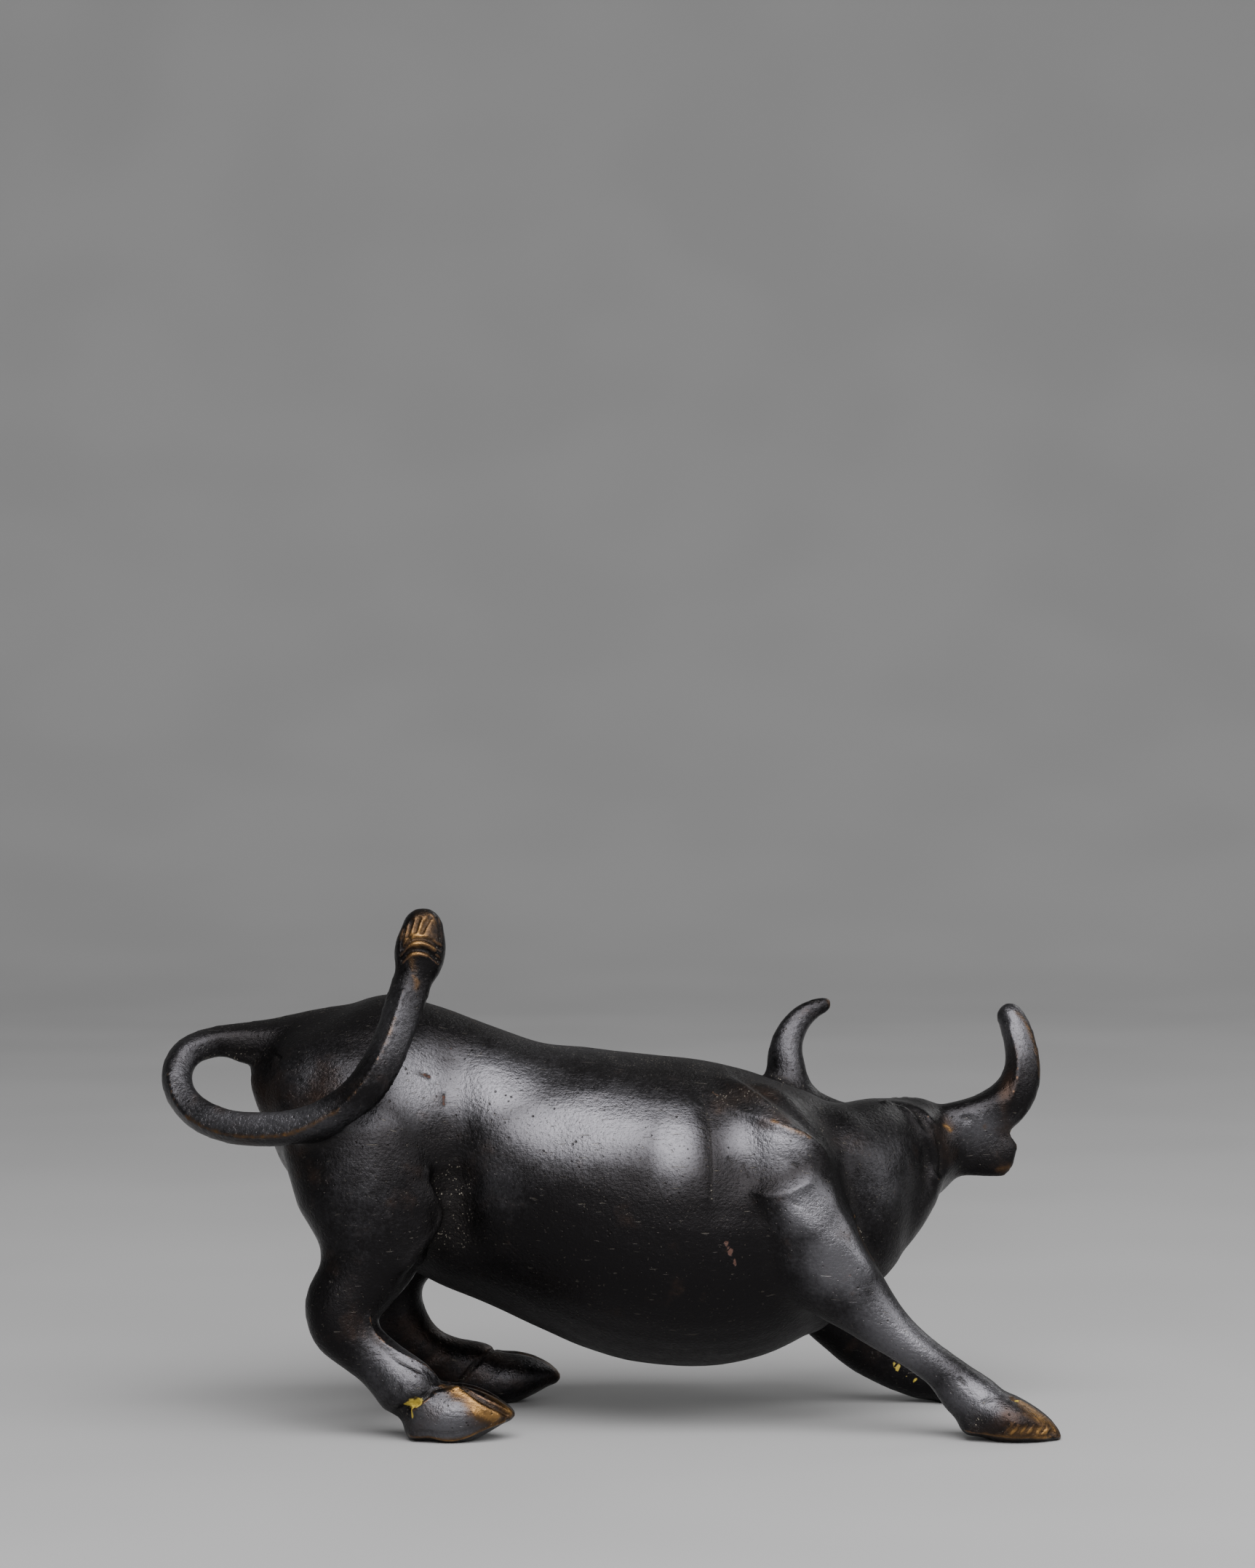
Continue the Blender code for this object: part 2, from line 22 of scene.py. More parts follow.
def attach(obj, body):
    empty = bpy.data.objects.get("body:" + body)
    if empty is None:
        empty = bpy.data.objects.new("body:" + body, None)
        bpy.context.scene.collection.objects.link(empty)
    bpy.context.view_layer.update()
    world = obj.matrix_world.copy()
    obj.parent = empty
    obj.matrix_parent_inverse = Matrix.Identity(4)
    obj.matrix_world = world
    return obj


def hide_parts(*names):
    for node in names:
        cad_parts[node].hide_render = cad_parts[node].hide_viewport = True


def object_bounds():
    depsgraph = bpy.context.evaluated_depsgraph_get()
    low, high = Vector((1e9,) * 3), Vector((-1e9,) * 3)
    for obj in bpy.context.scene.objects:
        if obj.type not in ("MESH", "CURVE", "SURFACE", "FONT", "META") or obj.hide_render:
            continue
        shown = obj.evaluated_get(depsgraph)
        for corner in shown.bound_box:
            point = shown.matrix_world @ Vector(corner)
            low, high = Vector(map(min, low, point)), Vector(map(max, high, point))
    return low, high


bl_info = {
    "name": "Cast bronze bull",
    "version": (1, 0, 0),
    "blender": (4, 5, 0),
    "location": "3D View > Sidebar > Bull",
    "description": "Makes the skin of a cast bronze bull and a small studio around it",
    "category": "Add Mesh",
}

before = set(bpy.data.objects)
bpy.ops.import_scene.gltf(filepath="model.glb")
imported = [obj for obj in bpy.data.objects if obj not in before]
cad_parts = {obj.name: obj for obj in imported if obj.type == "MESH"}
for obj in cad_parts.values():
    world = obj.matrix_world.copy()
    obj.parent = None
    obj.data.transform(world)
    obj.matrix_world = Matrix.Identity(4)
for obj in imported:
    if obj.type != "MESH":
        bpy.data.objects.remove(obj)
CAD_LOW, CAD_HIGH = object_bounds()

STATION_SPAN = 196.99  # what the stations span along X
UNIT = (CAD_HIGH.x - CAD_LOW.x) / STATION_SPAN  # one millimetre of the stations
SOLE_HEIGHT = 0.9  # where the hooves are ground flat, in the stations' frame
BOX_MIDDLE = (-0.79, 10.51)  # middle of the figure's box in the stations' frame

LOFT_RINGS = 56
LOFT_SIDES = 36
CAP_RINGS = 7
CAP_TIP = 0.02  # width of a cap's last ring, as a share of its first

LEFTWARD = (0, 1, 0)
FORWARD = (1, 0, 0)

FILL_STEP = 0.8  # how far a hollow's point rises each round, as a share of its depth
EVEN_STEP = 0.5
EVEN_ROUNDS = 4
FOLD_BAND = 0.7  # half width of the steep part of a fold
FLANK_FADE = 2.2  # how fast a stroke fades where the skin turns away from its flank
STOP_GAP = 0.05  # stops of a path that lie closer than this count as one

# How much wider than a mark the finer skin about it is: a factor on its reach, and a margin.
FINER = (1.5, 0.5)
FINEST = (1.6, 0.3)
FINEST_REACH = 0.6  # the widest mark that gets the finest skin
EVEN_GROWTH = 1.3  # how much wider the evening out of new points reaches
FINER_ROUNDS = 2

UNEVEN_SEED = 11
UNEVEN_WAVES = 40
UNEVEN_LENGTHS = (8, 26)

# Bends per millimetre: where an edge starts to wear, and how fast wear and dust grow with the bend.
EDGE_BEND = 0.28
EDGE_GAIN = 2.2
HOLLOW_GAIN = 1.6
SUNK_DEPTH = 0.15
BEND_ROUNDS = 2
BROAD_ROUNDS = 30

# Painted shade on top and below, where the patina is darkened and dulled: from where, and over what span, a
# face's slope and its place tell.
TOP_SLOPE, TOP_HEIGHT, TOP_REAR = (0.72, 0.25), (66, 8), (-52, 12)
UNDER_SLOPE, UNDER_HEIGHT = (0.5, 0.625), (8, 6)
# How strongly the painted shade darkens the back's upward faces and the faces that look down.
TOP_PAINTED_SHADE = 0.55
UNDER_PAINTED_SHADE = 0.35

# Stations: x, y, z of the centre, half depth in the plane of the path, half width across it.
TORSO = [
    (-78.3, 0, 78.4, 1.8, 4.5),
    (-77.7, 0, 76.8, 5.9, 8.4),
    (-75.5, 0, 74.2, 11.5, 14),
    (-72.3, 0, 72.3, 15.8, 18.5),
    (-68.8, 0, 71.4, 18.4, 21),
    (-65, 0, 70.7, 20.4, 22.3),
    (-60.3, 0, 69, 24, 23),
    (-50.4, 0, 66.5, 29.5, 23),
    (-40.9, 0, 63.2, 30.8, 21.5),
    (-28.4, 0, 58.3, 31.2, 23.5),
    (-16.8, 0, 53.6, 31.8, 26.5),
    (-5.3, 0, 50.5, 33.6, 29.5),
    (6.2, 0, 48.3, 34.4, 31.5),
    (17.9, 0, 47.3, 34.2, 32),
    (29.3, 0, 46.8, 32.4, 30),
    (38, 0.3, 46.7, 29.3, 26.5),
    (45, 0.8, 47.6, 25.8, 22),
    (50, 1.5, 49, 21, 17),
]
NECK = [
    (36, 0.5, 52.5, 23.5, 22),
    (45, 1.5, 53.5, 20.8, 19.5),
    (53, 4, 55.8, 17, 16.5),
    (58.5, 8.5, 58.6, 13.8, 13.2),
    (60.5, 14, 59.5, 12, 12),
]
DEWLAP = [
    (42, 0, 28.5, 8.5, 9),
    (48.5, 0, 34.5, 8, 9),
    (54.8, 0.5, 40.1, 7.9, 8.5),
    (61.4, 2.8, 46.2, 7.6, 8),
    (66, 7.5, 51.8, 6.9, 7.5),
]
HEAD = [
    (64.5, 9, 62.6, 8.5, 9),
    (65.6, 13.5, 61, 11.3, 13.3),
    (65, 19.8, 58, 12, 13.3),
    (64.2, 27, 54.6, 11, 11.3),
    (63.3, 34.2, 51.2, 9.3, 9.4),
    (62.6, 40.5, 48.3, 8.3, 8.8),
    (62, 45.8, 45.8, 7.8, 9.3),
    (61.6, 49, 44.3, 6.3, 7.6),
]
RIGHT_HORN = [
    (70, 14, 64, 5, 4.8),
    (77, 14.3, 65.3, 5.2, 4.8),
    (82.6, 14.8, 66.9, 5, 4.6),
    (87.7, 15.6, 69.3, 5.1, 4.5),
    (91.1, 16.8, 73.3, 4.4, 4.2),
    (92.5, 18.4, 78.7, 3.8, 3.8),
    (91.9, 20, 83.6, 3.5, 3.5),
    (90.6, 21.3, 87.8, 3.2, 3.2),
    (89.8, 21.8, 89.4, 3, 3),
]
LEFT_HORN = [
    (60, 13, 62.5, 5, 4.8),
    (53, 13.7, 64.8, 5, 4.8),
    (47.2, 14.6, 66.9, 4.9, 4.6),
    (42.9, 15.6, 69.4, 4.8, 4.5),
    (40.1, 16.8, 73.2, 4.6, 4.3),
    (39, 18.2, 78, 4.4, 4),
    (39.1, 19.6, 82.8, 3.7, 3.4),
    (41, 20.8, 87, 3.1, 2.9),
    (44.1, 21.7, 90.2, 2.5, 2.4),
    (47.9, 22.2, 91.9, 1.9, 1.9),
]
RIGHT_EAR = [
    (74, 14.5, 60, 6, 4.2),
    (81, 14.3, 59.4, 5.8, 3.2),
    (86.4, 13.8, 58.6, 5.4, 2.5),
    (88.8, 13.5, 57.8, 4.8, 1.9),
]
LEFT_EAR = [
    (57, 16, 60, 6, 4.2),
    (50.5, 20, 59.2, 5.6, 3.2),
    (46, 24.5, 58.8, 5, 2.5),
    (44.4, 27, 58.4, 4.2, 1.9),
]
NEAR_HIND_LEG = [
    (-57.5, -11, 76, 14, 11.5),
    (-57, -14.5, 67.5, 16, 12),
    (-55, -16.5, 59.9, 16.2, 12.5),
    (-52.9, -18, 52.2, 15.9, 12),
    (-52.6, -19, 45.9, 14, 10.5),
    (-53.7, -20, 39.6, 11.2, 8.5),
    (-56.2, -21, 34.2, 9, 7.2),
    (-59.2, -22, 29.5, 8.1, 6.6),
    (-58.7, -22.5, 25, 7.5, 6.2),
    (-55.4, -23, 21, 6.2, 5.5),
    (-51.2, -24, 17.6, 5.8, 5.3),
    (-47.2, -25, 14.2, 6.4, 5.8),
    (-44.2, -25.6, 11.4, 7, 6.5),
    (-42.3, -26, 9.6, 6.2, 6.4),
]
NEAR_HIND_HOOF = [
    (-42.3, -26, 3.6, 3.3, 5.6),
    (-40, -26, 5.4, 5.6, 7.3),
    (-35.2, -26, 6.3, 7, 8.3),
    (-29.7, -26, 6.8, 5.8, 7.3),
    (-25, -26, 6.8, 3.4, 5.2),
    (-22.5, -26, 6.6, 1.8, 2.9),
]
FAR_HIND_LEG = [
    (-55.5, 11, 76, 14, 11.5),
    (-52.5, 14.5, 67, 16.5, 12),
    (-51, 16.5, 59, 16.4, 12.5),
    (-49, 18, 51, 15, 12),
    (-48, 19, 44, 13, 10.5),
    (-49, 20, 37.5, 11, 8.5),
    (-51.2, 21, 31.5, 9.2, 7.2),
    (-51.6, 22, 25.5, 8.3, 6.3),
    (-48.8, 22.5, 18.6, 7.4, 5.9),
    (-43.2, 23, 13, 6.1, 5.6),
    (-36.7, 24, 9.6, 6.2, 5.6),
    (-31, 25, 7.8, 6.7, 6.2),
    (-28, 25.6, 6.8, 6.2, 6.4),
]
FAR_HIND_HOOF = [
    (-34.5, 26, 4.1, 3.6, 5),
    (-31.5, 26, 5.3, 5.4, 7.2),
    (-27.1, 26, 5.8, 6, 8.2),
    (-21.9, 26, 6.7, 5.6, 8),
    (-18.3, 26, 7, 4.5, 6.5),
    (-15.2, 26, 6.9, 3, 4.6),
    (-13.2, 26, 6.5, 1.8, 2.8),
]
NEAR_FORELEG = [
    (27, -6, 73, 6, 6),
    (32, -11.5, 67, 11, 10),
    (35, -15.5, 60, 13.3, 12),
    (37.5, -18, 51.5, 13.5, 12),
    (42, -19.6, 43.5, 12.2, 11),
    (47.1, -20.8, 37, 10, 9.2),
    (53.3, -22, 31, 7.8, 7.2),
    (59.9, -23, 24.8, 5.6, 5.6),
    (66.1, -24, 19.9, 4.4, 4.8),
    (72.3, -24.5, 15.2, 4.5, 4.6),
    (76.7, -25, 10.9, 5.6, 5.2),
    (80.4, -25.6, 8.2, 5.8, 6),
]
NEAR_FORE_HOOF = [
    (78, -26, 4.7, 3, 5.2),
    (82.8, -26, 5.9, 5.5, 7.4),
    (88.5, -26, 4.6, 5, 8),
    (91.5, -26, 3.7, 4.1, 7),
    (94.5, -26, 2.7, 3, 5.2),
    (96.5, -26, 1.9, 1.8, 3.2),
]
FAR_FORELEG = [
    (27, 6, 73, 6, 6),
    (32, 11.5, 67, 11, 10),
    (35, 15.5, 60, 13.3, 12),
    (36.5, 18, 50.5, 13.2, 12),
    (39.5, 19.4, 41, 12.2, 11),
    (43.2, 20.4, 33, 10.6, 9.3),
    (48, 21.6, 25.2, 8.9, 7.8),
    (53.2, 22.5, 18.4, 7.3, 6.5),
    (58.3, 23.5, 12.9, 6.1, 5.6),
    (63.3, 24.2, 9.3, 5.2, 5.1),
    (67.5, 24.8, 7.4, 5, 5),
    (71, 25.5, 6, 4.9, 5.6),
]
FAR_FORE_HOOF = [
    (70.5, 26, 4.6, 3, 5.4),
    (74, 26, 5.4, 4.9, 7.2),
    (78.5, 26, 4.5, 4.8, 7.6),
    (81.5, 26, 3.6, 3.9, 6.8),
    (84.5, 26, 2.6, 2.8, 5),
    (86.3, 26, 1.9, 1.7, 3.2),
]
TAIL = [
    (-56, 0, 87, 7, 8),
    (-64, 0, 86, 6.6, 7),
    (-71, 0, 85.2, 6, 5.9),
    (-77.5, -0.5, 85.3, 4.8, 4.8),
    (-84, -1.5, 85.8, 3.6, 3.8),
    (-89.5, -3, 85.3, 3.2, 3.5),
    (-94.2, -5.5, 83.3, 3.2, 3.4),
    (-96.2, -9, 79.3, 3.3, 3.3),
    (-94.8, -13, 74.6, 3.3, 3.3),
    (-90.8, -17, 71, 3.4, 3.3),
    (-84.5, -21, 68.9, 3.5, 3.3),
    (-76.3, -25, 68.4, 3.6, 3.3),
    (-68.2, -28, 69.5, 3.6, 3.4),
    (-60.9, -30, 72.3, 3.6, 3.4),
    (-55.1, -30.3, 76.5, 3.6, 3.4),
    (-50.4, -29.5, 82.7, 3.7, 3.4),
    (-46.9, -27, 90.5, 3.9, 3.4),
    (-44.6, -24, 97.3, 4.1, 3.4),
    (-43.2, -22, 101.9, 4.1, 3.4),
]
TUFT = [
    (-43, -22, 101.8, 4.4, 3.8),
    (-42.5, -21.2, 103.5, 5.2, 4.6),
    (-42.2, -20.6, 106, 5.7, 5.2),
    (-41.7, -20, 109.3, 5.5, 5.1),
    (-41.4, -19.6, 112, 4.7, 4.4),
]

LIMBS = (
    NEAR_HIND_LEG, NEAR_HIND_HOOF, FAR_HIND_LEG, FAR_HIND_HOOF, NEAR_FORELEG, NEAR_FORE_HOOF,
    FAR_FORELEG, FAR_FORE_HOOF, TAIL, TUFT,
)

# Each loft: its stations, and the direction across it at its start and at its end.
LOFTS = [
    (TORSO, LEFTWARD, LEFTWARD),
    (NECK, LEFTWARD, (-1, 0.2, 0)),
    (DEWLAP, LEFTWARD, (-1, 0.6, 0)),
    (HEAD, FORWARD, FORWARD),
    (RIGHT_HORN, LEFTWARD, LEFTWARD),
    (LEFT_HORN, LEFTWARD, LEFTWARD),
    (RIGHT_EAR, LEFTWARD, LEFTWARD),
    (LEFT_EAR, (0.6, 0.8, 0), (0.6, 0.8, 0)),
    *((limb, LEFTWARD, LEFTWARD) for limb in LIMBS),
]

NEAR, FAR = -1, 1

# Strokes on a flank: the kind, the flank, how far it reaches, its height, and its path in x and z.
# A swell rises about its path, or sinks where its height is negative; a fold rises on one side of its
# path and sinks on the other.
FLANK_STROKES = [
    ("fold", NEAR, 4.5, 1.5, [(-47, 34), (-42.1, 40.7), (-38.9, 45.7), (-37.2, 49.3), (-37.8, 53),
        (-40.2, 58)]),
    ("swell", NEAR, 5, -2, [(-33.6, 56), (-32.8, 45)]),
    ("swell", NEAR, 5.5, -1.3, [(-34.5, 82), (-33.8, 58)]),
    ("swell", NEAR, 9, 1, [(-50, 78), (-45, 71)]),
    ("swell", NEAR, 9, 0.8, [(-24, 64), (-17, 57)]),
    ("fold", NEAR, 4.5, 0.15, [(21.8, 48), (20.8, 54.5), (19.7, 62.4), (18.9, 70.7), (18, 76.5),
        (17.3, 80)]),
    ("swell", NEAR, 4.5, -0.5, [(24.4, 52), (23.4, 62), (22.4, 74)]),
    ("fold", NEAR, 5.5, 1.5, [(48.5, 60), (45.8, 64.2), (42.4, 67.6), (37.6, 71.3), (32.1, 75.2),
        (23.5, 79.8)]),
    ("swell", NEAR, 4.5, -0.8, [(29.5, 60.5), (38, 61.5)]),
    ("swell", NEAR, 2.4, 0.7, [(33, 54.4), (38, 55.2), (43.5, 57.8)]),
    ("swell", NEAR, 7, 0.7, [(43, 52), (48, 46)]),
    ("swell", NEAR, 2.8, 0.6, [(33.5, 53.2), (40.5, 48.8), (46.7, 44.1), (55, 37.8)]),
    ("fold", NEAR, 3.5, 0.9, [(58.5, 37), (54.9, 41.7), (52, 47.2), (49.1, 53), (47.6, 58.5)]),
    ("fold", NEAR, 4, -1, [(72.5, 50.6), (71.1, 55.1), (71.5, 58.6), (71, 63.2), (69.5, 67.5), (67, 71.5)]),
    ("fold", NEAR, 1.8, -0.5, [(-45.9, 6.9), (-44.5, 8.7), (-40.1, 11.4), (-37.9, 13.1), (-35.4, 14.2)]),
    ("fold", FAR, 4.5, 1.5, [(-42, 34), (-37.1, 40.7), (-33.9, 45.7), (-32.2, 49.3), (-32.8, 53),
        (-35.2, 58)]),
    ("swell", FAR, 5, -2, [(-28.6, 56), (-27.8, 45)]),
    ("swell", FAR, 5.5, -1.3, [(-30.5, 82), (-29.8, 58)]),
    ("fold", FAR, 4.5, 0.15, [(21.8, 48), (20.8, 54.5), (19.7, 62.4), (18.9, 70.7), (17.3, 80)]),
    ("fold", FAR, 5.5, 0.9, [(45.8, 64.2), (42.4, 67.6), (37.6, 71.3), (32.1, 75.2), (23.5, 79.8)]),
]

# Marks in the round: how far they reach, their height, and their path in x, y and z.
ROUND_MARKS = [
    (3.6, 2.2, [(-82, -5.5, 80.4), (-78, -7, 77.4), (-74.5, -9, 72.5)]),
    (2.6, 1.9, [(76, 24, 58.2), (75.8, 25.4, 57.8)]),
    (2.6, 1.9, [(52.8, 24.6, 58.2), (53, 26, 57.8)]),
    (2, 1.2, [(72.5, 19, 65.5), (74.8, 23, 63.2), (74.4, 28, 60.4)]),
    (2, 1.2, [(57.3, 19.6, 65.5), (54.2, 23.8, 63.2), (54.2, 28.8, 60.4)]),
    (1.7, -1.5, [(66.5, 48.5, 49.6), (66.5, 49.8, 48.6)]),
    (1.7, -1.5, [(57.6, 48.8, 49.6), (57.6, 50, 48.6)]),
    (1.1, -0.9, [(70.9, 39, 42.4), (69, 47, 40.2), (61.8, 53.5, 40.5), (54.4, 47.2, 40.2),
        (53.3, 39.4, 42.4)]),
    (1.1, -1.1, [(-37, -26, 13.6), (-30, -26, 12.4), (-22, -26, 7)]),
    (1.1, -1.1, [(-26, 26, 12), (-20, 26, 11.8), (-12.8, 26, 6.6)]),
    (1.1, -1.1, [(83.5, -26, 11.4), (91.5, -26, 7.9), (98, -26, 2.4)]),
    (1.1, -1.1, [(73.5, 26, 10.8), (81.5, 26, 7.6), (87.5, 26, 2.4)]),
]

# Corner strength and turn, in degrees, of the squarish sections, from root to tip.
RIGHT_HORN_CORNERS = ((0.0, 2.0, -12), (0.35, 2.6, 6), (0.6, 3.0, 26), (0.9, 2.8, 28), (1.0, 2.3, 28))
LEFT_HORN_CORNERS = ((0.0, 2.0, -12), (0.3, 2.6, -10), (0.85, 3.0, -8), (1.0, 2.3, -8))
TAIL_CORNERS = (
    (0, 2, -10),
    (0.2, 2.6, -20),
    (0.4, 3.6, -22),
    (0.62, 3.8, -26),
    (0.78, 3.4, -56),
    (1, 2.6, -62),
)
SQUARISH = ((TAIL, TAIL_CORNERS), (RIGHT_HORN, RIGHT_HORN_CORNERS), (LEFT_HORN, LEFT_HORN_CORNERS))

# Small marks: how far they reach, their height, and their path in x, y and z.
TUFT_MARKS = [
    (0.45, -0.55, [(-43.9, -22.9, 113.6), (-44.3, -23.3, 112.2), (-44.8, -23.9, 110.6)]),
    (0.45, -0.55, [(-42.2, -23.1, 114.3), (-42.6, -23.6, 113), (-42.9, -24.1, 111.7)]),
    (0.5, -0.6, [(-39.6, -22.6, 114.7), (-40.6, -23.6, 113.2), (-41.5, -24.3, 111.4)]),
    (0.45, -0.5, [(-45.4, -22.3, 112), (-45.9, -23.2, 110), (-46.1, -23.9, 108)]),
    (0.4, -0.4, [(-44.2, -24.5, 110.2), (-44.9, -24.4, 108.9), (-45.5, -24.3, 107.6)]),
    (0.45, -0.5, [(-38, -21.6, 114), (-37.3, -22.4, 111.8), (-37.1, -23, 109.6)]),
    (0.45, -0.5, [(-37.4, -19.2, 113.6), (-36.7, -19.4, 111.2), (-36.6, -19.5, 108.8)]),
    (0.45, -0.5, [(-39.2, -16.2, 113.6), (-38.8, -15.6, 111.2), (-38.8, -15.6, 108.8)]),
    (0.45, -0.5, [(-42.3, -15.7, 113.5), (-42.3, -15.3, 111.1), (-42.5, -15.1, 108.8)]),
    (0.45, -0.5, [(-45.1, -17.4, 113.1), (-45.6, -17.1, 110.9), (-46.2, -17.1, 108.6)]),
    (0.45, -0.5, [(-46, -20.2, 112.3), (-46.8, -20.4, 110.4), (-47.4, -20.8, 108.4)]),
    (0.4, -0.5, [(-45.9, -24.1, 107.4), (-45.1, -24.5, 108.5), (-43.5, -24.8, 109.7),
        (-41.6, -24.9, 110), (-39.8, -24.7, 109.6), (-38.4, -24.2, 108.5), (-37.3, -22.9, 107.6)]),
    (0.5, 0.3, [(-45.9, -24.2, 106.3), (-44.1, -24.9, 108.5), (-42.3, -25.2, 108.9), (-40.2, -25, 108.5),
        (-38.6, -24.4, 107.5)]),
    (0.45, -0.65, [(-46.2, -24, 105), (-45.5, -24.6, 105.9), (-44.1, -25.2, 107.3),
        (-42.3, -25.5, 107.7), (-40.5, -25.2, 107.3), (-39, -24.7, 106.2), (-37.8, -23.4, 105)]),
    (0.6, 0.35, [(-45.4, -24.7, 104.9), (-43.6, -25.5, 106.4), (-42, -25.7, 106.6), (-40.4, -25.4, 106.2)]),
]
HOOF_MARKS = [
    # near hind: the wedge behind the coronet, the coronet, the toe's groove and its rims
    (1.9, -2, [(-48.4, -27, 4.6), (-47, -29, 6), (-45.4, -30.6, 7.2)]),
    (1, -1.3, [(-46.6, -30.4, 6.6), (-44.6, -31.4, 8.6), (-42.8, -32, 9.8)]),
    (0.6, -0.8, [(-43.4, -32, 9.4), (-41.6, -32.2, 10.6), (-39.8, -31.6, 11.8)]),
    (0.45, -0.45, [(-41, -31.9, 11.1), (-38.7, -30.4, 12.6), (-36.9, -29.5, 12.9), (-35.4, -27.2, 13.4)]),
    (0.8, 0.35, [(-38, -31.8, 11.6), (-35.4, -30.8, 12.2), (-33.4, -29.4, 12.8)]),
    (0.55, -0.8, [(-33.5, -28.2, 13), (-30.3, -30.4, 11.4), (-27.4, -30.8, 9.6), (-24.5, -30, 7.9),
        (-22.7, -28.8, 6.6)]),
    (0.8, 0.4, [(-33.9, -29.6, 12.6), (-30.8, -31.6, 10.6), (-27.8, -32.2, 8.6), (-24.9, -30.8, 6.8)]),
    (0.5, 0.35, [(-43.6, -30.1, 2.3), (-38.6, -31.8, 2.3), (-34.5, -32.2, 1.8), (-30.8, -32, 2.7),
        (-26.9, -31.2, 4.3), (-23.6, -29, 5.3)]),
    (0.7, -0.35, [(-42.4, -31.4, 3.4), (-38.3, -32.8, 3.4), (-34.5, -33.3, 3.2), (-30.6, -32.8, 4.3)]),
    # the seam along the front of the near hind cannon
    (0.7, 0.55, [(-53.4, -26, 27.6), (-51.4, -26.9, 24.2), (-49.4, -27.4, 22), (-45.4, -27.8, 19.6),
        (-41.2, -27.6, 17.3), (-38.4, -26.6, 14.4), (-35.7, -24.9, 13)]),
    (0.5, -0.35, [(-52.2, -27.7, 24), (-49.8, -28.6, 21.4), (-46, -29.2, 18.6), (-42, -29.2, 16.2)]),
    # far hind: coronet, toe's groove, heel
    (0.6, -0.6, [(-35, 20.4, 6), (-32, 19.6, 9.6), (-28.4, 21.4, 12.4), (-26.6, 25.6, 13.3)]),
    (0.6, -0.6, [(-34.5, 30.9, 5.9), (-31.5, 31.6, 9), (-28.5, 29.9, 11.6), (-27, 26.3, 12.9)]),
    # near fore: dimple at the heel, the sole's edge, file cuts and a crater at the toe
    (1.5, -0.7, [(78.5, -31.2, 5.4), (79.2, -31.6, 5.2)]),
    (0.55, -0.45, [(83.4, -33, 3), (85.4, -33.6, 5.2)]),
    (0.4, -0.35, [(85.3, -33.3, 3.3), (86.8, -33.9, 5)]),
    (0.6, -0.5, [(87.1, -33.6, 2.8), (88.3, -33.9, 4.5)]),
    (0.45, -0.35, [(88.9, -33.5, 3.4), (90.4, -33.3, 5)]),
    (0.65, -0.55, [(91, -33, 2.9), (91.7, -32.8, 4.1)]),
    (0.45, -0.4, [(92.8, -32.2, 3.3), (94, -31.6, 4.5)]),
    (0.8, -0.9, [(95.2, -30.6, 2.7), (95.8, -30.2, 3.3)]),
    (0.5, 0.4, [(94.4, -31.4, 3.4), (95.6, -30.6, 4.2), (96.6, -29.4, 3.2)]),
    (0.5, 0.3, [(76.6, -29.6, 3.4), (81, -31.2, 3), (85.2, -32.7, 2.6), (89.8, -32.7, 2.4),
        (94.1, -30.7, 2), (96.9, -28.2, 1.9)]),
    (0.5, -0.35, [(80.2, -31.6, 9.8), (83, -30.8, 11.2), (86.9, -29.4, 10.6), (88.2, -27, 10.2)]),
    (0.6, -0.5, [(86.9, -29.6, 10.3), (87.4, -29.3, 10)]),
    # far fore: coronet
    (0.5, -0.35, [(70.9, 30.4, 8.3), (74.2, 30.4, 9.2), (77.3, 28.5, 9.6), (78.1, 26, 8.9)]),
    (0.5, -0.35, [(70.5, 20.8, 9), (74, 21.7, 9.3), (77.3, 23.5, 9.6), (78.1, 26, 8.9)]),
]
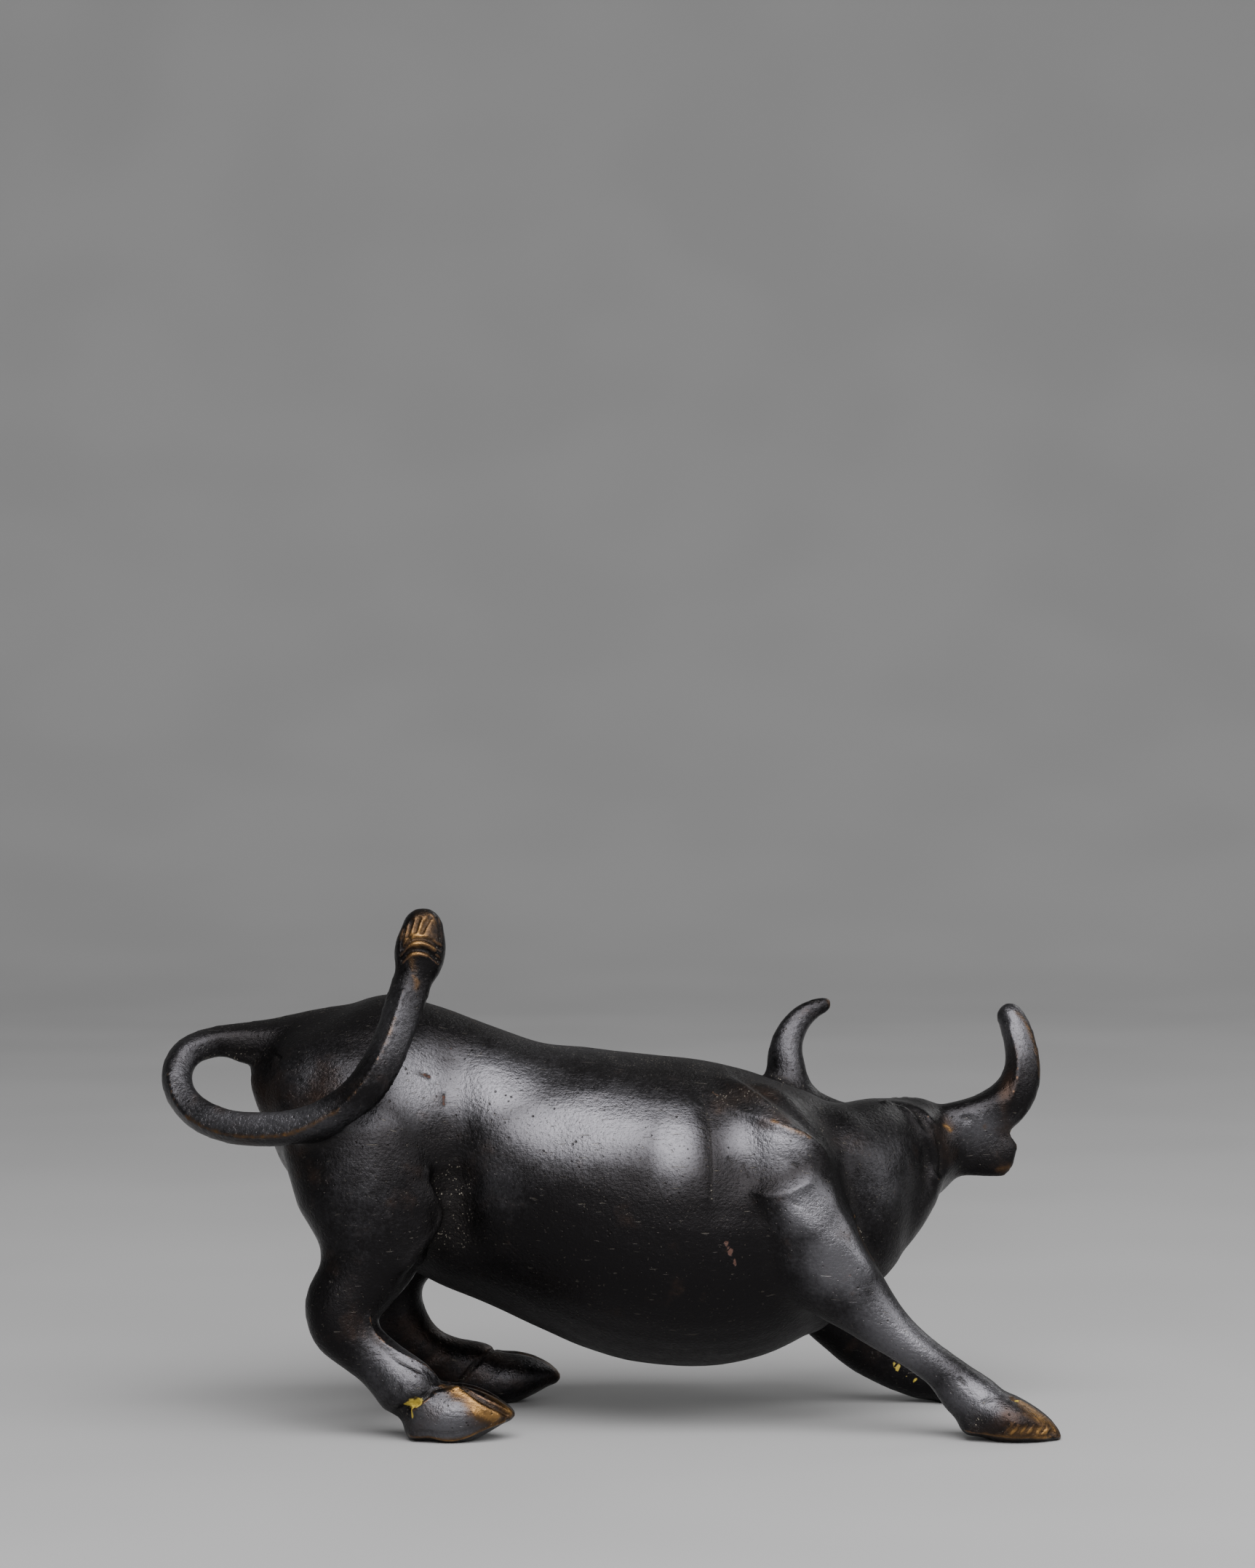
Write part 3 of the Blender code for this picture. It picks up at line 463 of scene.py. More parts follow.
BODY_MARKS = [
    # thigh's front edge, near and far
    (1.3, 0.55, [(-40.4, -23.2, 58.6), (-39.2, -23.6, 53.6), (-38, -22, 48.8), (-39.4, -23.4, 45.4),
        (-42, -26, 42.6), (-45.2, -26.8, 38.6)]),
    (1.2, -0.75, [(-37.6, -22, 56.4), (-36.6, -20.8, 51.6), (-36, -19.6, 47.4), (-37.4, -21.2, 43.4),
        (-40.8, -24, 40), (-44, -24.6, 36)]),
    (1.3, 0.55, [(-36.4, 23.2, 58.6), (-35.2, 23.6, 53.6), (-34, 22, 48.8), (-35.4, 23.4, 45.4)]),
    (1.2, -0.75, [(-33.6, 22, 56.4), (-32.6, 20.8, 51.6), (-32, 19.6, 47.4), (-33.4, 21.2, 43.4)]),
    # shoulder's rear rib and the line behind it
    (0.9, 0.12, [(18.6, -18.4, 74.2), (19.6, -23.3, 68.3), (20.1, -27.6, 60.9), (20.3, -30.6, 54.4)]),
    (0.4, -0.18, [(20, -18.6, 74), (20.8, -23.3, 68.3), (21.2, -27.4, 60.9), (21.4, -30.6, 54.1)]),
    (0.35, -0.12, [(19.2, -20.6, 72), (19.8, -23.6, 67.8), (20.2, -26.4, 62.6)]),
    # crest above the shoulder, and the groove over it
    (1.1, 0.45, [(22.3, -16.1, 74.9), (26.2, -20.2, 72.2), (31.3, -22.7, 70.8), (34.5, -24.2, 69.8),
        (37.6, -25, 68.7), (42.7, -24.8, 66.7), (46, -23.6, 63)]),
    (1.4, -0.45, [(23.6, -14, 76.6), (27.6, -17.8, 74.6), (31.8, -20, 73.4), (35.6, -21.6, 71.8),
        (39.6, -22.8, 70), (44, -22, 67)]),
    (0.9, 0.18, [(24, -2.4, 80.8), (27, -10.5, 78.9), (30.4, -17.4, 76.4), (34.6, -20.4, 73.6),
        (39.2, -22.6, 70.8)]),
    # small muscle line under the shoulder's hollow
    (0.8, 0.22, [(30.4, -28.8, 54.9), (34.3, -30.2, 54.6), (38.6, -30.6, 55.5), (42.9, -29.1, 57.4)]),
    (1.2, -0.1, [(32, -28.6, 57), (36, -29.6, 57.4), (40.6, -29.2, 59)]),
    # dents, pits and scratches of use
    (0.32, -0.2, [(24.9, -26.2, 62), (25.8, -26.6, 61.3)]),
    (0.28, -0.18, [(28.4, -26.5, 60.8), (28.8, -26.9, 59.8)]),
    (0.28, -0.18, [(29, -26.9, 59.2), (29.4, -27.2, 58.4)]),
    (0.3, -0.2, [(31.8, -28, 57.6), (32.2, -28.1, 57.5)]),
    (0.35, -0.2, [(39, -27.3, 61.1), (40, -27.5, 60.6)]),
    (0.35, -0.2, [(33.8, -30, 51.7), (34.9, -30.2, 51.2)]),
    (0.35, -0.2, [(39.2, -30.7, 53.1), (40.3, -30.8, 52.7)]),
    (0.5, -0.3, [(22.6, -16, 75.2), (23.8, -16.6, 74.5)]),
    (0.5, -0.3, [(-42, -18.6, 80.2), (-40.1, -18.1, 79.1)]),
    (0.45, -0.3, [(-36.9, -18.9, 75.4), (-36.9, -19.6, 73.2)]),
    (0.6, -0.6, [(-74.9, -10.6, 83.4), (-73.6, -12.4, 82.8)]),
    (0.5, -0.35, [(75.4, -29.3, 14.4), (76.2, -29.6, 13.6)]),
    # the near cannon's scratches
    (0.3, -0.18, [(-46.3, -29.9, 13.5), (-46.6, -30.4, 11.6)]),
    (0.3, -0.18, [(-45.7, -30, 13.3), (-46, -30.6, 11.4)]),
    # neck's rim over the back of the head
    (0.9, 0.5, [(60.6, 4.3, 71.4), (63.8, 5.2, 70.4), (66.3, 4.1, 68.6), (69.2, 3.1, 64.3),
        (70.8, 4, 60.2), (71.2, 3.7, 55.3), (72.6, 9.6, 51.4)]),
    (1.3, -0.75, [(62.6, 6.3, 71), (65.8, 6.4, 69.8), (68.6, 5.4, 67.8), (71.6, 4.8, 63.8),
        (73.2, 5.8, 59.8), (73.4, 6.2, 55.6)]),
    (0.9, -0.45, [(79.2, 9.8, 67.3), (79.5, 9.9, 67.1)]),
    # ridges along the tail's bar and upright, the right horn's ridge and the step under it
    (0.75, 0.4, [(-97.4, -12.9, 79), (-95.8, -17, 74), (-92.6, -20.4, 70.4), (-88, -23.5, 68.2),
        (-82.5, -26.2, 67.2), (-76.8, -28.9, 67.2), (-71, -31, 67.9), (-65.2, -32.9, 70.2),
        (-59.8, -34.1, 73.2), (-55.2, -34.2, 77.4), (-51.7, -33.5, 82.4), (-48.9, -31.8, 87.9),
        (-47.1, -29.9, 93.2), (-45.4, -27.4, 98.6)]),
    (0.7, 0.35, [(88.6, 12.4, 70.6), (90.2, 13.2, 73.6), (91, 14, 76.6), (91.2, 15.2, 79.8),
        (90.6, 16.6, 83), (89.6, 18.2, 86.6)]),
    (0.7, -0.55, [(90.6, 11.4, 66.2), (92.4, 12.8, 68.2)]),
    # tail root's hollow and the skirt of skin beside the neck
    (1.6, -0.6, [(-85, -4.4, 83.2), (-80, -5.8, 82.6), (-76, -8.4, 83.4)]),
    (0.6, 0.3, [(53.1, -16.4, 48.3), (54, -20, 44.3), (56.8, -20.6, 39.5)]),
]
FACE_MARKS = [
    # eyes: lids about the balls, and the balls themselves
    (0.55, -0.7, [(74.6, 21.6, 60.4), (76.6, 24, 60.2), (76.4, 27, 58.8), (75, 28, 57)]),
    (0.55, -0.7, [(74.2, 21.8, 56.8), (75.6, 24.2, 55.6), (75.4, 26.8, 55.4), (75, 28, 57)]),
    (0.55, -0.7, [(54.2, 22.2, 60.4), (52.2, 24.6, 60.2), (52.4, 27.6, 58.8), (53.8, 28.6, 57)]),
    (0.55, -0.7, [(54.4, 22.4, 56.8), (53.2, 24.8, 55.6), (53.4, 27.4, 55.4), (53.8, 28.6, 57)]),
    (0.7, 0.35, [(73.6, 20.8, 61.6), (76.6, 23.6, 61.6), (76.6, 27.2, 60)]),
    (0.7, 0.35, [(55.2, 21.4, 61.6), (52.4, 24.2, 61.6), (52.2, 27.8, 60)]),
    # nostrils' rims, the mouth's line and the chin
    (0.8, 0.45, [(68.6, 46.8, 50.4), (68.2, 49.6, 50), (66.4, 51.4, 49), (64.8, 50.8, 48.2)]),
    (0.8, 0.45, [(55.6, 47.2, 50.6), (56.3, 48.9, 49.3), (58, 51.5, 48.6), (59.2, 51, 48.2)]),
    (0.5, -0.5, [(62.1, 52, 47.6), (61.9, 53.6, 45.2), (61.8, 54, 42.6)]),
    (0.6, -0.5, [(69.6, 39.3, 43.6), (68.4, 46.7, 41.4), (65.9, 51.3, 40.5), (61.8, 53.3, 41),
        (57.8, 51.2, 40.6), (55.4, 46.9, 41.4), (54.7, 40.8, 43.6)]),
    # the forehead's curls
    (0.5, -0.4, [(61.6, 16.3, 71.1), (62.4, 19.4, 70.8), (61.8, 22, 69)]),
    (0.5, -0.4, [(64.5, 16.5, 71.3), (65, 19.8, 71), (64.6, 22.8, 69.2)]),
    (0.5, -0.4, [(67.3, 16.4, 71.4), (67.2, 19.4, 70.8), (67.8, 22, 69)]),
    # ears: the hollow that faces forward
    (1.6, -1.4, [(79, 17.6, 59.8), (83, 17.2, 59.2), (87, 16.6, 58.4)]),
    (1.6, -1.4, [(54, 21.6, 59.8), (50.2, 24.8, 59.2), (47, 28.2, 58.6)]),
]

# What use and age have left: for each attribute, how far it reaches, its strength, and its path.
WORN_PLACES = {
    "yellow": [
        (3.6, 0.64, [(-41.6, -23.6, 113.8), (-41.6, -24.2, 111.6), (-43.2, -24.4, 110.2)]),
        (0.8, 0.66, [(-45.4, -24.2, 107.8), (-43.6, -25, 108.9), (-41.2, -25.2, 109), (-39, -24.6, 108)]),
        (0.7, 0.6, [(-44.6, -25, 106.3), (-42.2, -25.6, 107), (-40, -25.2, 106.5)]),
        (1, 0.46, [(-43.7, -25.4, 105.2), (-42.9, -25.8, 102.8), (-42.6, -26.2, 99.4)]),
        (2.2, 1, [(-35, -29.2, 12.9), (-31.4, -31.8, 10.9), (-28.6, -32.6, 8.4), (-25.4, -31.2, 6.2)]),
        (1.8, 1, [(-29, -27, 12.4), (-25.4, -28, 9.8), (-22.6, -27.4, 7.4)]),
        (0.9, 0.74, [(-44.2, -29.3, 2.1), (-38.6, -31.7, 1.9), (-34.5, -32.2, 1.6), (-30.8, -31.9, 2.4),
            (-26.9, -31.2, 4.1), (-23.6, -29, 5.2)]),
        (3, 0.92, [(89, -28.6, 9.4), (92.6, -30.2, 6.8), (95.6, -28.6, 4.6)]),
        (1, 0.74, [(80.2, -30.8, 2.6), (85.1, -32.5, 2.3), (89.9, -32.7, 2.4), (94.7, -30.3, 2.2)]),
        (1.3, 0.95, [(86.4, -33.6, 3.6), (90, -33.5, 3.8), (94.4, -31.2, 3.6)]),
        (0.8, 0.5, [(-92.6, -20.4, 70.4), (-88, -23.5, 68.2), (-82.5, -26.2, 67.2), (-76.8, -28.9, 67.2),
            (-71, -31, 67.9), (-65.2, -32.9, 70.2), (-59.8, -34.1, 73.2)]),
        (0.7, 0.5, [(-56.8, -34.3, 75.8), (-55.2, -34.2, 77.4), (-51.7, -33.5, 82.4),
            (-48.9, -31.8, 87.9), (-47.1, -29.9, 93.2)]),
        (0.8, 0.66, [(34.9, -24.2, 70.2), (38.8, -25.2, 68.5), (42.7, -24.9, 66.9)]),
        (0.7, 1, [(74.2, 7.7, 65.9), (75.6, 8.5, 64.9)]),
        (0.5, 0.9, [(83.2, 10.4, 65), (83.3, 10.4, 65.1)]),
        (0.9, 0.6, [(89.4, 12.4, 55.8), (86.8, 11.9, 55.6)]),
        (0.6, 0.55, [(53.1, -16.4, 48.3), (54, -21, 44.3), (56.8, -21.2, 39.5), (59.4, -19, 35.4)]),
        (0.9, 0.72, [(96, 16, 76), (95.8, 17, 80), (94.6, 18.2, 85), (92.6, 18.8, 89.4),
            (90.2, 18.4, 91.8)]),
        (2, 0.8, [(-21, 26, 10.8), (-15.6, 26, 8.4), (-12.6, 26, 6.6)]),
        (2, 0.8, [(80, 26, 8.2), (84, 26, 5.6), (87, 26, 3)]),
    ],
    "lime": [
        (1, 1.3, [(-44.9, -30.6, 8.4), (-43.6, -31.4, 9.3), (-42.2, -32, 10)]),
        (1.5, 1.1, [(-44.1, -29.6, 9), (-42, -30, 10)]),
        (0.8, 1.2, [(-43.9, -30.6, 8.8), (-43.5, -31, 7.8), (-43.6, -31.2, 6.8)]),
        (0.6, 1, [(86.9, -29.6, 10.3), (87.6, -29.2, 10)]),
        (0.7, 1.05, [(64, 19.2, 10.2), (64.7, 19.2, 9)]),
        (0.35, 0.85, [(65, 19.2, 10.9), (64.4, 19.2, 10.5)]),
        (0.45, 0.75, [(68.8, 20, 6.9), (67.6, 20, 5.6)]),
        (0.4, 0.7, [(66, 19.6, 8.2), (66.8, 19.8, 7.6)]),
        (0.8, 0.9, [(88.6, 13.6, 64), (89.2, 14.6, 63.6)]),
        (0.35, 0.75, [(-70.6, -20.8, 63.8), (-70.5, -21, 62.4)]),
        (0.35, 0.7, [(-68.6, -22.9, 59), (-68.3, -23.1, 58.5)]),
    ],
    "chip": [
        (0.5, 0.85, [(24.4, -30.9, 44.8), (25.6, -30.4, 42.2), (26.6, -29.9, 39.6)]),
        (0.45, 0.85, [(45.4, -30.7, 43), (45.9, -30.6, 42)]),
        (0.55, 0.9, [(51.4, -29.1, 37.2), (52.3, -28.8, 36.2)]),
        (0.5, 0.9, [(14, -31.9, 46.1), (14.1, -31.9, 46)]),
        (0.4, 0.85, [(13.2, -31.4, 54.4), (13.3, -31.4, 54.3)]),
        (0.45, 0.85, [(-41.8, -18.5, 80), (-40.1, -18.1, 79.2)]),
        (0.45, 0.85, [(-36.9, -18.9, 75.2), (-36.9, -19.6, 73.4)]),
        (0.45, 0.8, [(-36.4, -13.1, 85), (-35.6, -13.1, 84.8)]),
        (0.5, 0.9, [(75.6, -29.4, 14.2), (76.1, -29.6, 13.8)]),
    ],
}
# Places seen as ellipsoids: the middle, the reach in x, y and z, and the strength.
SOFT_PLACES = {
    # Dull patina in the hollows, and painted shade under the body in the last two places.
    "dull": [
        ((-34.6, -17.4, 50), (5.5, 9, 12), 1),
        ((-34.6, 17.4, 50), (5.5, 9, 12), 1),
        ((-28, -21, 62), (7, 9, 5), 0.35),
        ((-86, -5, 81), (10, 6, 5), 0.9),
        ((78.6, -31.3, 5.2), (2.6, 3, 2.4), 1),
        ((85, 11, 60.6), (5.5, 6, 5), 0.42),
        ((-46.4, -30, 6.6), (3.2, 3.4, 2.6), 1),
        ((27.5, -18, 74.8), (6.5, 4, 3), 1),
        ((36, -20.5, 72.4), (5, 4, 2.6), 0.8),
        ((-83, -6.5, 80.5), (6, 4, 3.6), 1),
        # painted shade under the belly and under the chest
        ((-30, 0, 22), (26, 15, 12), 0.8),
        ((60, 0, 30), (18, 9, 12), 0.7),
    ],
    "rub": [
        ((-27, -21, 78), (15, 14, 8), 1),
        ((-6, -26, 70), (20, 14, 8.5), 1),
        ((13, -27, 67), (6, 12, 9), 0.9),
        ((-56, -24, 56), (9, 12, 16), 0.3),
        ((-64, -18, 77), (14, 14, 9), 0.42),
        ((-26, -24, 58), (9, 10, 9), 0.36),
        ((-12, -4, 84), (30, 14, 5), 0.34),
        ((33.5, -26, 66.5), (9, 10, 6), 1),
        ((43, -30, 52), (6.5, 8, 6.5), 0.95),
        ((50, -29, 42), (9, 8, 10), 1),
        ((64, -29, 26), (12, 8, 14), 0.9),
        ((79, -30, 11), (10, 7, 6), 0.75),
        ((-42, -20, 79), (9, 10, 9), 0.85),
        ((-46, -28, 17), (9, 8, 9), 0.62),
        ((91.5, 20, 87), (7, 9, 10), 0.68),
        ((41, 18, 83), (10, 9, 12), 0.44),
        ((82, 10, 65), (8, 9, 5), 0.6),
        ((62, -12, 58), (12, 14, 14), 0.34),
        ((-15, 24, 72), (26, 14, 9), 0.9),
        ((30, 26, 66), (14, 10, 9), 0.8),
        ((-42, 24, 68), (14, 12, 16), 0.5),
        ((62, 27, 30), (16, 8, 18), 0.6),
        ((63, 40, 58), (9, 16, 7), 0.7),
        ((-75, -27, 71.5), (26, 10, 4.6), 0.85),
        ((-92, -10, 76), (8, 12, 14), 0.6),
        ((-36, -32, 6), (9, 6, 6), 0.9),
        ((-25, 20, 8), (13, 8, 6), 0.42),
        ((-47, -29, 90), (8, 8, 14), 0.45),
    ],
    "warm": [
        ((-72, -14, 76), (16, 14, 9), 0.7),
        ((-76, -24, 66), (18, 9, 5), 0.7),
        ((-64, -20, 74), (14, 12, 10), 0.85),
        ((-66, -22, 58), (8, 12, 6), 0.5),
        ((-38, -22, 76), (6, 8, 9), 0.5),
        ((-60, -18, 34), (7, 14, 16), 0.5),
        ((-28, 24, 18), (26, 12, 18), 0.7),
        ((75, 6, 61), (4.5, 10, 10), 0.35),
        ((89, 12, 55.4), (5, 6, 2.6), 0.9),
        ((88, 14, 78), (2.6, 9, 14), 0.9),
        ((31, -16, 75), (8, 6, 4), 0.8),
        ((38, -22, 70), (7, 5, 3.5), 0.8),
        ((-30, -24, 8), (13, 12, 7), 0.9),
        ((-22, 26, 7), (13, 12, 7), 0.7),
        ((90, -28, 5), (12, 10, 6), 0.7),
        ((82, 26, 5), (12, 10, 6), 0.6),
        ((-42, -22, 108), (7, 7, 9), 0.8),
        ((66, 22, 26), (16, 9, 16), 0.5),
        ((62, 46, 46), (8, 12, 8), 0.5),
    ],
}


def unit_rows(vectors):
    """Each row divided by its own length."""
    return vectors / np.linalg.norm(vectors, axis=1, keepdims=True)


def eased(stations, count):
    """Rows read at even steps of the cubic through the stations, its slopes taken from their neighbours."""
    rows = np.array(stations, float)
    steps = np.linalg.norm(np.diff(rows[:, :3], axis=0), axis=1)
    along = np.concatenate([[0], np.cumsum(steps)])
    slopes = np.gradient(rows, along, axis=0)
    at = np.linspace(0, along[-1], count)
    left = np.clip(np.searchsorted(along, at, side="right") - 1, 0, len(rows) - 2)
    span = (along[left + 1] - along[left])[:, None]
    t = (at - along[left])[:, None] / span
    return (
        (2 * t**3 - 3 * t**2 + 1) * rows[left]
        + (t**3 - 2 * t**2 + t) * span * slopes[left]
        + (3 * t**2 - 2 * t**3) * rows[left + 1]
        + (t**3 - t**2) * span * slopes[left + 1]
    )


def capped(centres, tangents, depths, widths):
    """The rings with round ends, which go out by the sine and shrink by the cosine of a quarter turn."""
    turn = np.linspace(0, np.pi / 2, CAP_RINGS + 1)[1:]
    shrink = np.maximum(np.cos(turn), CAP_TIP)
    for end, sign in ((0, -1), (-1, 1)):
        reach = min(depths[end], widths[end])
        extra = centres[end] + sign * reach * np.sin(turn)[:, None] * tangents[end]
        ahead = np.repeat(tangents[[end]], CAP_RINGS, axis=0)
        added = [extra, ahead, depths[end] * shrink, widths[end] * shrink]
        rows = [centres, tangents, depths, widths]
        if sign < 0:
            rows = [np.concatenate([new[::-1], old]) for new, old in zip(added, rows)]
        else:
            rows = [np.concatenate([old, new]) for new, old in zip(added, rows)]
        centres, tangents, depths, widths = rows
    return centres, tangents, depths, widths


def section(stations, share, angle):
    """How far a section's rim lies out, as a share of its ellipse.

    One over the p-th root of |cos|^p + |sin|^p: two makes an ellipse, more makes corners, which the turn
    carries round. Only the tail and the horns have corners.
    """
    corners = [shape for kind, shape in SQUARISH if kind is stations]
    if not corners:
        return np.ones((len(share), angle.size, 1))
    at, power, turn = np.array(corners[0]).T
    power = np.interp(share, at, power)[:, None, None]
    turned = angle - np.radians(np.interp(share, at, turn))[:, None, None]
    return (np.abs(np.cos(turned)) ** power + np.abs(np.sin(turned)) ** power) ** (-1 / power)


def loft(stations, across_start, across_end):
    """Points and faces of a closed tube: a section carried along the smooth path through the stations.

    A rim point is centre + across x width x cosine + upward x depth x sine of its angle, times the section's
    share. The torso's sections stand upright; every other loft's are square to its path.
    """
    rows = eased(stations, LOFT_RINGS)
    centres = rows[:, :3]
    tangents = unit_rows(np.gradient(centres, axis=0))
    if stations is TORSO:
        tangents = np.tile(np.array(FORWARD, float), (LOFT_RINGS, 1))
    centres, tangents, depths, widths = capped(centres, tangents, rows[:, 3], rows[:, 4])
    share = np.linspace(0, 1, len(centres))
    start, end = np.array([across_start, across_end], float)
    across = (1 - share)[:, None] * start + share[:, None] * end
    across = unit_rows(across - np.sum(across * tangents, axis=1)[:, None] * tangents)
    upward = np.cross(tangents, across)
    angle = np.linspace(0, 2 * np.pi, LOFT_SIDES, endpoint=False)[None, :, None]
    out = section(stations, share, angle)
    points = (
        centres[:, None]
        + across[:, None] * widths[:, None, None] * np.cos(angle) * out
        + upward[:, None] * depths[:, None, None] * np.sin(angle) * out
    )
    rings = len(centres)
    row, side = np.meshgrid(np.arange(rings - 1), np.arange(LOFT_SIDES), indexing="ij")
    after = (side + 1) % LOFT_SIDES
    corners = [row * LOFT_SIDES + side, row * LOFT_SIDES + after]
    corners += [(row + 1) * LOFT_SIDES + after, (row + 1) * LOFT_SIDES + side]
    faces = np.stack(corners, axis=-1).reshape(-1, 4)
    first = list(range(LOFT_SIDES))[::-1]
    last = list(range((rings - 1) * LOFT_SIDES, rings * LOFT_SIDES))
    return points.reshape(-1, 3), faces.tolist() + [first, last]


def new_piece(name, points, faces):
    """A mesh object of the given points and faces, at the origin."""
    mesh = bpy.data.meshes.new(name)
    mesh.from_pydata(points.tolist(), [], faces)
    mesh.update()
    piece = bpy.data.objects.new(name, mesh)
    bpy.context.scene.collection.objects.link(piece)
    return piece


def settled(piece):
    """The piece with its modifiers applied to its mesh."""
    bpy.context.view_layer.update()
    graph = bpy.context.evaluated_depsgraph_get()
    mesh = bpy.data.meshes.new_from_object(piece.evaluated_get(graph))
    piece.modifiers.clear()
    piece.data = mesh
    return piece


def melted_lofts(cell):
    """All lofts in one mesh, melted into one skin by a voxel remesh."""
    points, faces, count = [], [], 0
    for stations, start, end in LOFTS:
        new_points, new_faces = loft(stations, start, end)
        points.append(new_points)
        faces += [[i + count for i in face] for face in new_faces]
        count += len(new_points)
    skin = new_piece("bull_bronze", np.vstack(points), faces)
    melt = skin.modifiers.new("melt", "REMESH")
    melt.mode = "VOXEL"
    melt.voxel_size = cell
    return settled(skin)


def read_out(items, what, width, kind):
    """What each of the mesh's items holds, as the rows of an array."""
    flat = np.empty(len(items) * width, kind)
    items.foreach_get(what, flat)
    return flat.reshape(-1, width)


def point_array(mesh):
    return read_out(mesh.vertices, "co", 3, float)


def normal_array(mesh):
    return read_out(mesh.vertex_normals, "vector", 3, float)


def place_points(mesh, points):
    mesh.vertices.foreach_set("co", points.astype(np.float32).ravel())
    mesh.update()


def edge_array(mesh):
    return read_out(mesh.edges, "vertices", 2, int)


def neighbour_means(values, edges):
    """The mean of each point's neighbours along the edges, for one value or for several in columns."""
    ends = np.concatenate([edges, edges[:, ::-1]])
    count = np.bincount(ends[:, 0], minlength=len(values))
    columns = values.reshape(len(values), -1)
    sums = [np.bincount(ends[:, 0], column[ends[:, 1]], len(values)) for column in columns.T]
    return (np.stack(sums, axis=1) / count[:, None]).reshape(values.shape)


def fill_hollows(skin, rounds, even_rounds):
    """Turns creases into fillets: in each round, what lies below its neighbours' mean rises."""
    mesh = skin.data
    edges = edge_array(mesh)
    points = point_array(mesh)
    for _ in range(rounds):
        rise = neighbour_means(points, edges) - points
        normals = normal_array(mesh)
        height = np.maximum(np.sum(rise * normals, axis=1), 0)
        points = points + FILL_STEP * height[:, None] * normals
        place_points(mesh, points)
    for _ in range(even_rounds):
        points = points + EVEN_STEP * (neighbour_means(points, edges) - points)
    place_points(mesh, points)


def nearest(points, path):
    """Each point's distance from a path, its share of the way along it, and the side it lies on."""
    stops = eased(path, 4 * len(path))
    far = np.full(len(points), np.inf)
    share = np.zeros(len(points))
    side = np.zeros(len(points))
    for k in range(len(stops) - 1):
        leg = stops[k + 1] - stops[k]
        t = np.clip((points - stops[k]) @ leg / (leg @ leg), 0, 1)
        gap = points - stops[k] - t[:, None] * leg
        distance = np.linalg.norm(gap, axis=1)
        closer = distance < far
        far = np.where(closer, distance, far)
        share = np.where(closer, (k + t) / (len(stops) - 1), share)
        side = np.where(closer, np.sign(leg[0] * gap[:, -1] - leg[-1] * gap[:, 0]), side)
    return far, share, side


def bell(points, reach, path):
    """One on the path, falling as exp(-(distance / reach)^2), and nothing beyond three reaches."""
    path_array = np.array(path)
    low, high = path_array.min(0) - 3 * reach, path_array.max(0) + 3 * reach
    near = np.all((points > low) & (points < high), axis=1)
    fade = np.zeros(len(points))
    if near.any():
        far, _, _ = nearest(points[near], path)
        fade[near] = np.exp(-((far / reach) ** 2))
    return fade


def carve_flanks(skin):
    """Raises and sinks the skin along its normals under each broad stroke and mark."""
    mesh = skin.data
    for kind, flank, reach, height, path in FLANK_STROKES:
        points = point_array(mesh)
        normals = normal_array(mesh)
        far, share, side = nearest(points[:, [0, 2]], path)
        fade = np.exp(-((far / reach) ** 2)) * np.clip(flank * normals[:, 1] * FLANK_FADE, 0, 1)
        if kind == "fold":
            fade = fade * side * np.tanh(far / FOLD_BAND) * np.clip(6 * share * (1 - share), 0, 1)
        place_points(mesh, points + height * fade[:, None] * normals)
    for reach, height, path in ROUND_MARKS:
        points = point_array(mesh)
        rise = height * bell(points, reach, path)
        place_points(mesh, points + rise[:, None] * normal_array(mesh))


def laid_on(skin, marks):
    """The marks again, with whatever of their paths lies under the skin moved out to its nearest point."""
    mesh = skin.data
    faces = [tuple(face.vertices) for face in mesh.polygons]
    tree = BVHTree.FromPolygons(point_array(mesh).tolist(), faces)
    laid = []
    for reach, height, path in marks:
        stops = []
        for stop in eased(path, 2 * len(path)):
            spot, normal, _, _ = tree.find_nearest(stop)
            if (Vector(stop) - spot).dot(normal) < 0:
                stop = np.array(spot)
            if not stops or np.linalg.norm(stop - stops[-1]) > STOP_GAP:
                stops.append(stop)
        laid.append((reach, height, stops))
    return laid


def nearness(points, marks, spread, margin, wider=1):
    """The highest of the marks' bells at each point, widened by the spread, the margin and wider."""
    share = np.zeros(len(points))
    for reach, _, path in marks:
        share = np.maximum(share, bell(points, wider * (spread * reach + margin), path))
    return share


def make_finer(skin, marks, spread, margin):
    """Splits the skin's faces about the marks' paths in four, and evens the new points out."""
    mesh = skin.data
    work = bmesh.new()
    work.from_mesh(mesh)
    work.faces.ensure_lookup_table()
    points = point_array(mesh)
    corners = np.array([[v.index for v in face.verts[:3]] for face in work.faces])
    middles = points[corners].mean(axis=1)
    share = nearness(middles, marks, spread, margin)
    chosen = [work.faces[i] for i in np.flatnonzero(share > np.exp(-1)).tolist()]
    edges = list({edge for face in chosen for edge in face.edges})
    bmesh.ops.subdivide_edges(work, edges=edges, cuts=1, use_grid_fill=True)
    work.to_mesh(mesh)
    work.free()
    mesh.update()
    points = point_array(mesh)
    edges = edge_array(mesh)
    share = nearness(points, marks, spread, margin, EVEN_GROWTH)
    for _ in range(FINER_ROUNDS):
        points = points + EVEN_STEP * share[:, None] * (neighbour_means(points, edges) - points)
    place_points(mesh, points)


def cut_marks(skin, marks, depth):
    """Moves the skin along its normals by the sum of the marks' bells, all at once."""
    mesh = skin.data
    points = point_array(mesh)
    height = sum(h * bell(points, reach, path) for reach, h, path in marks)
    place_points(mesh, points + depth * height[:, None] * normal_array(mesh))


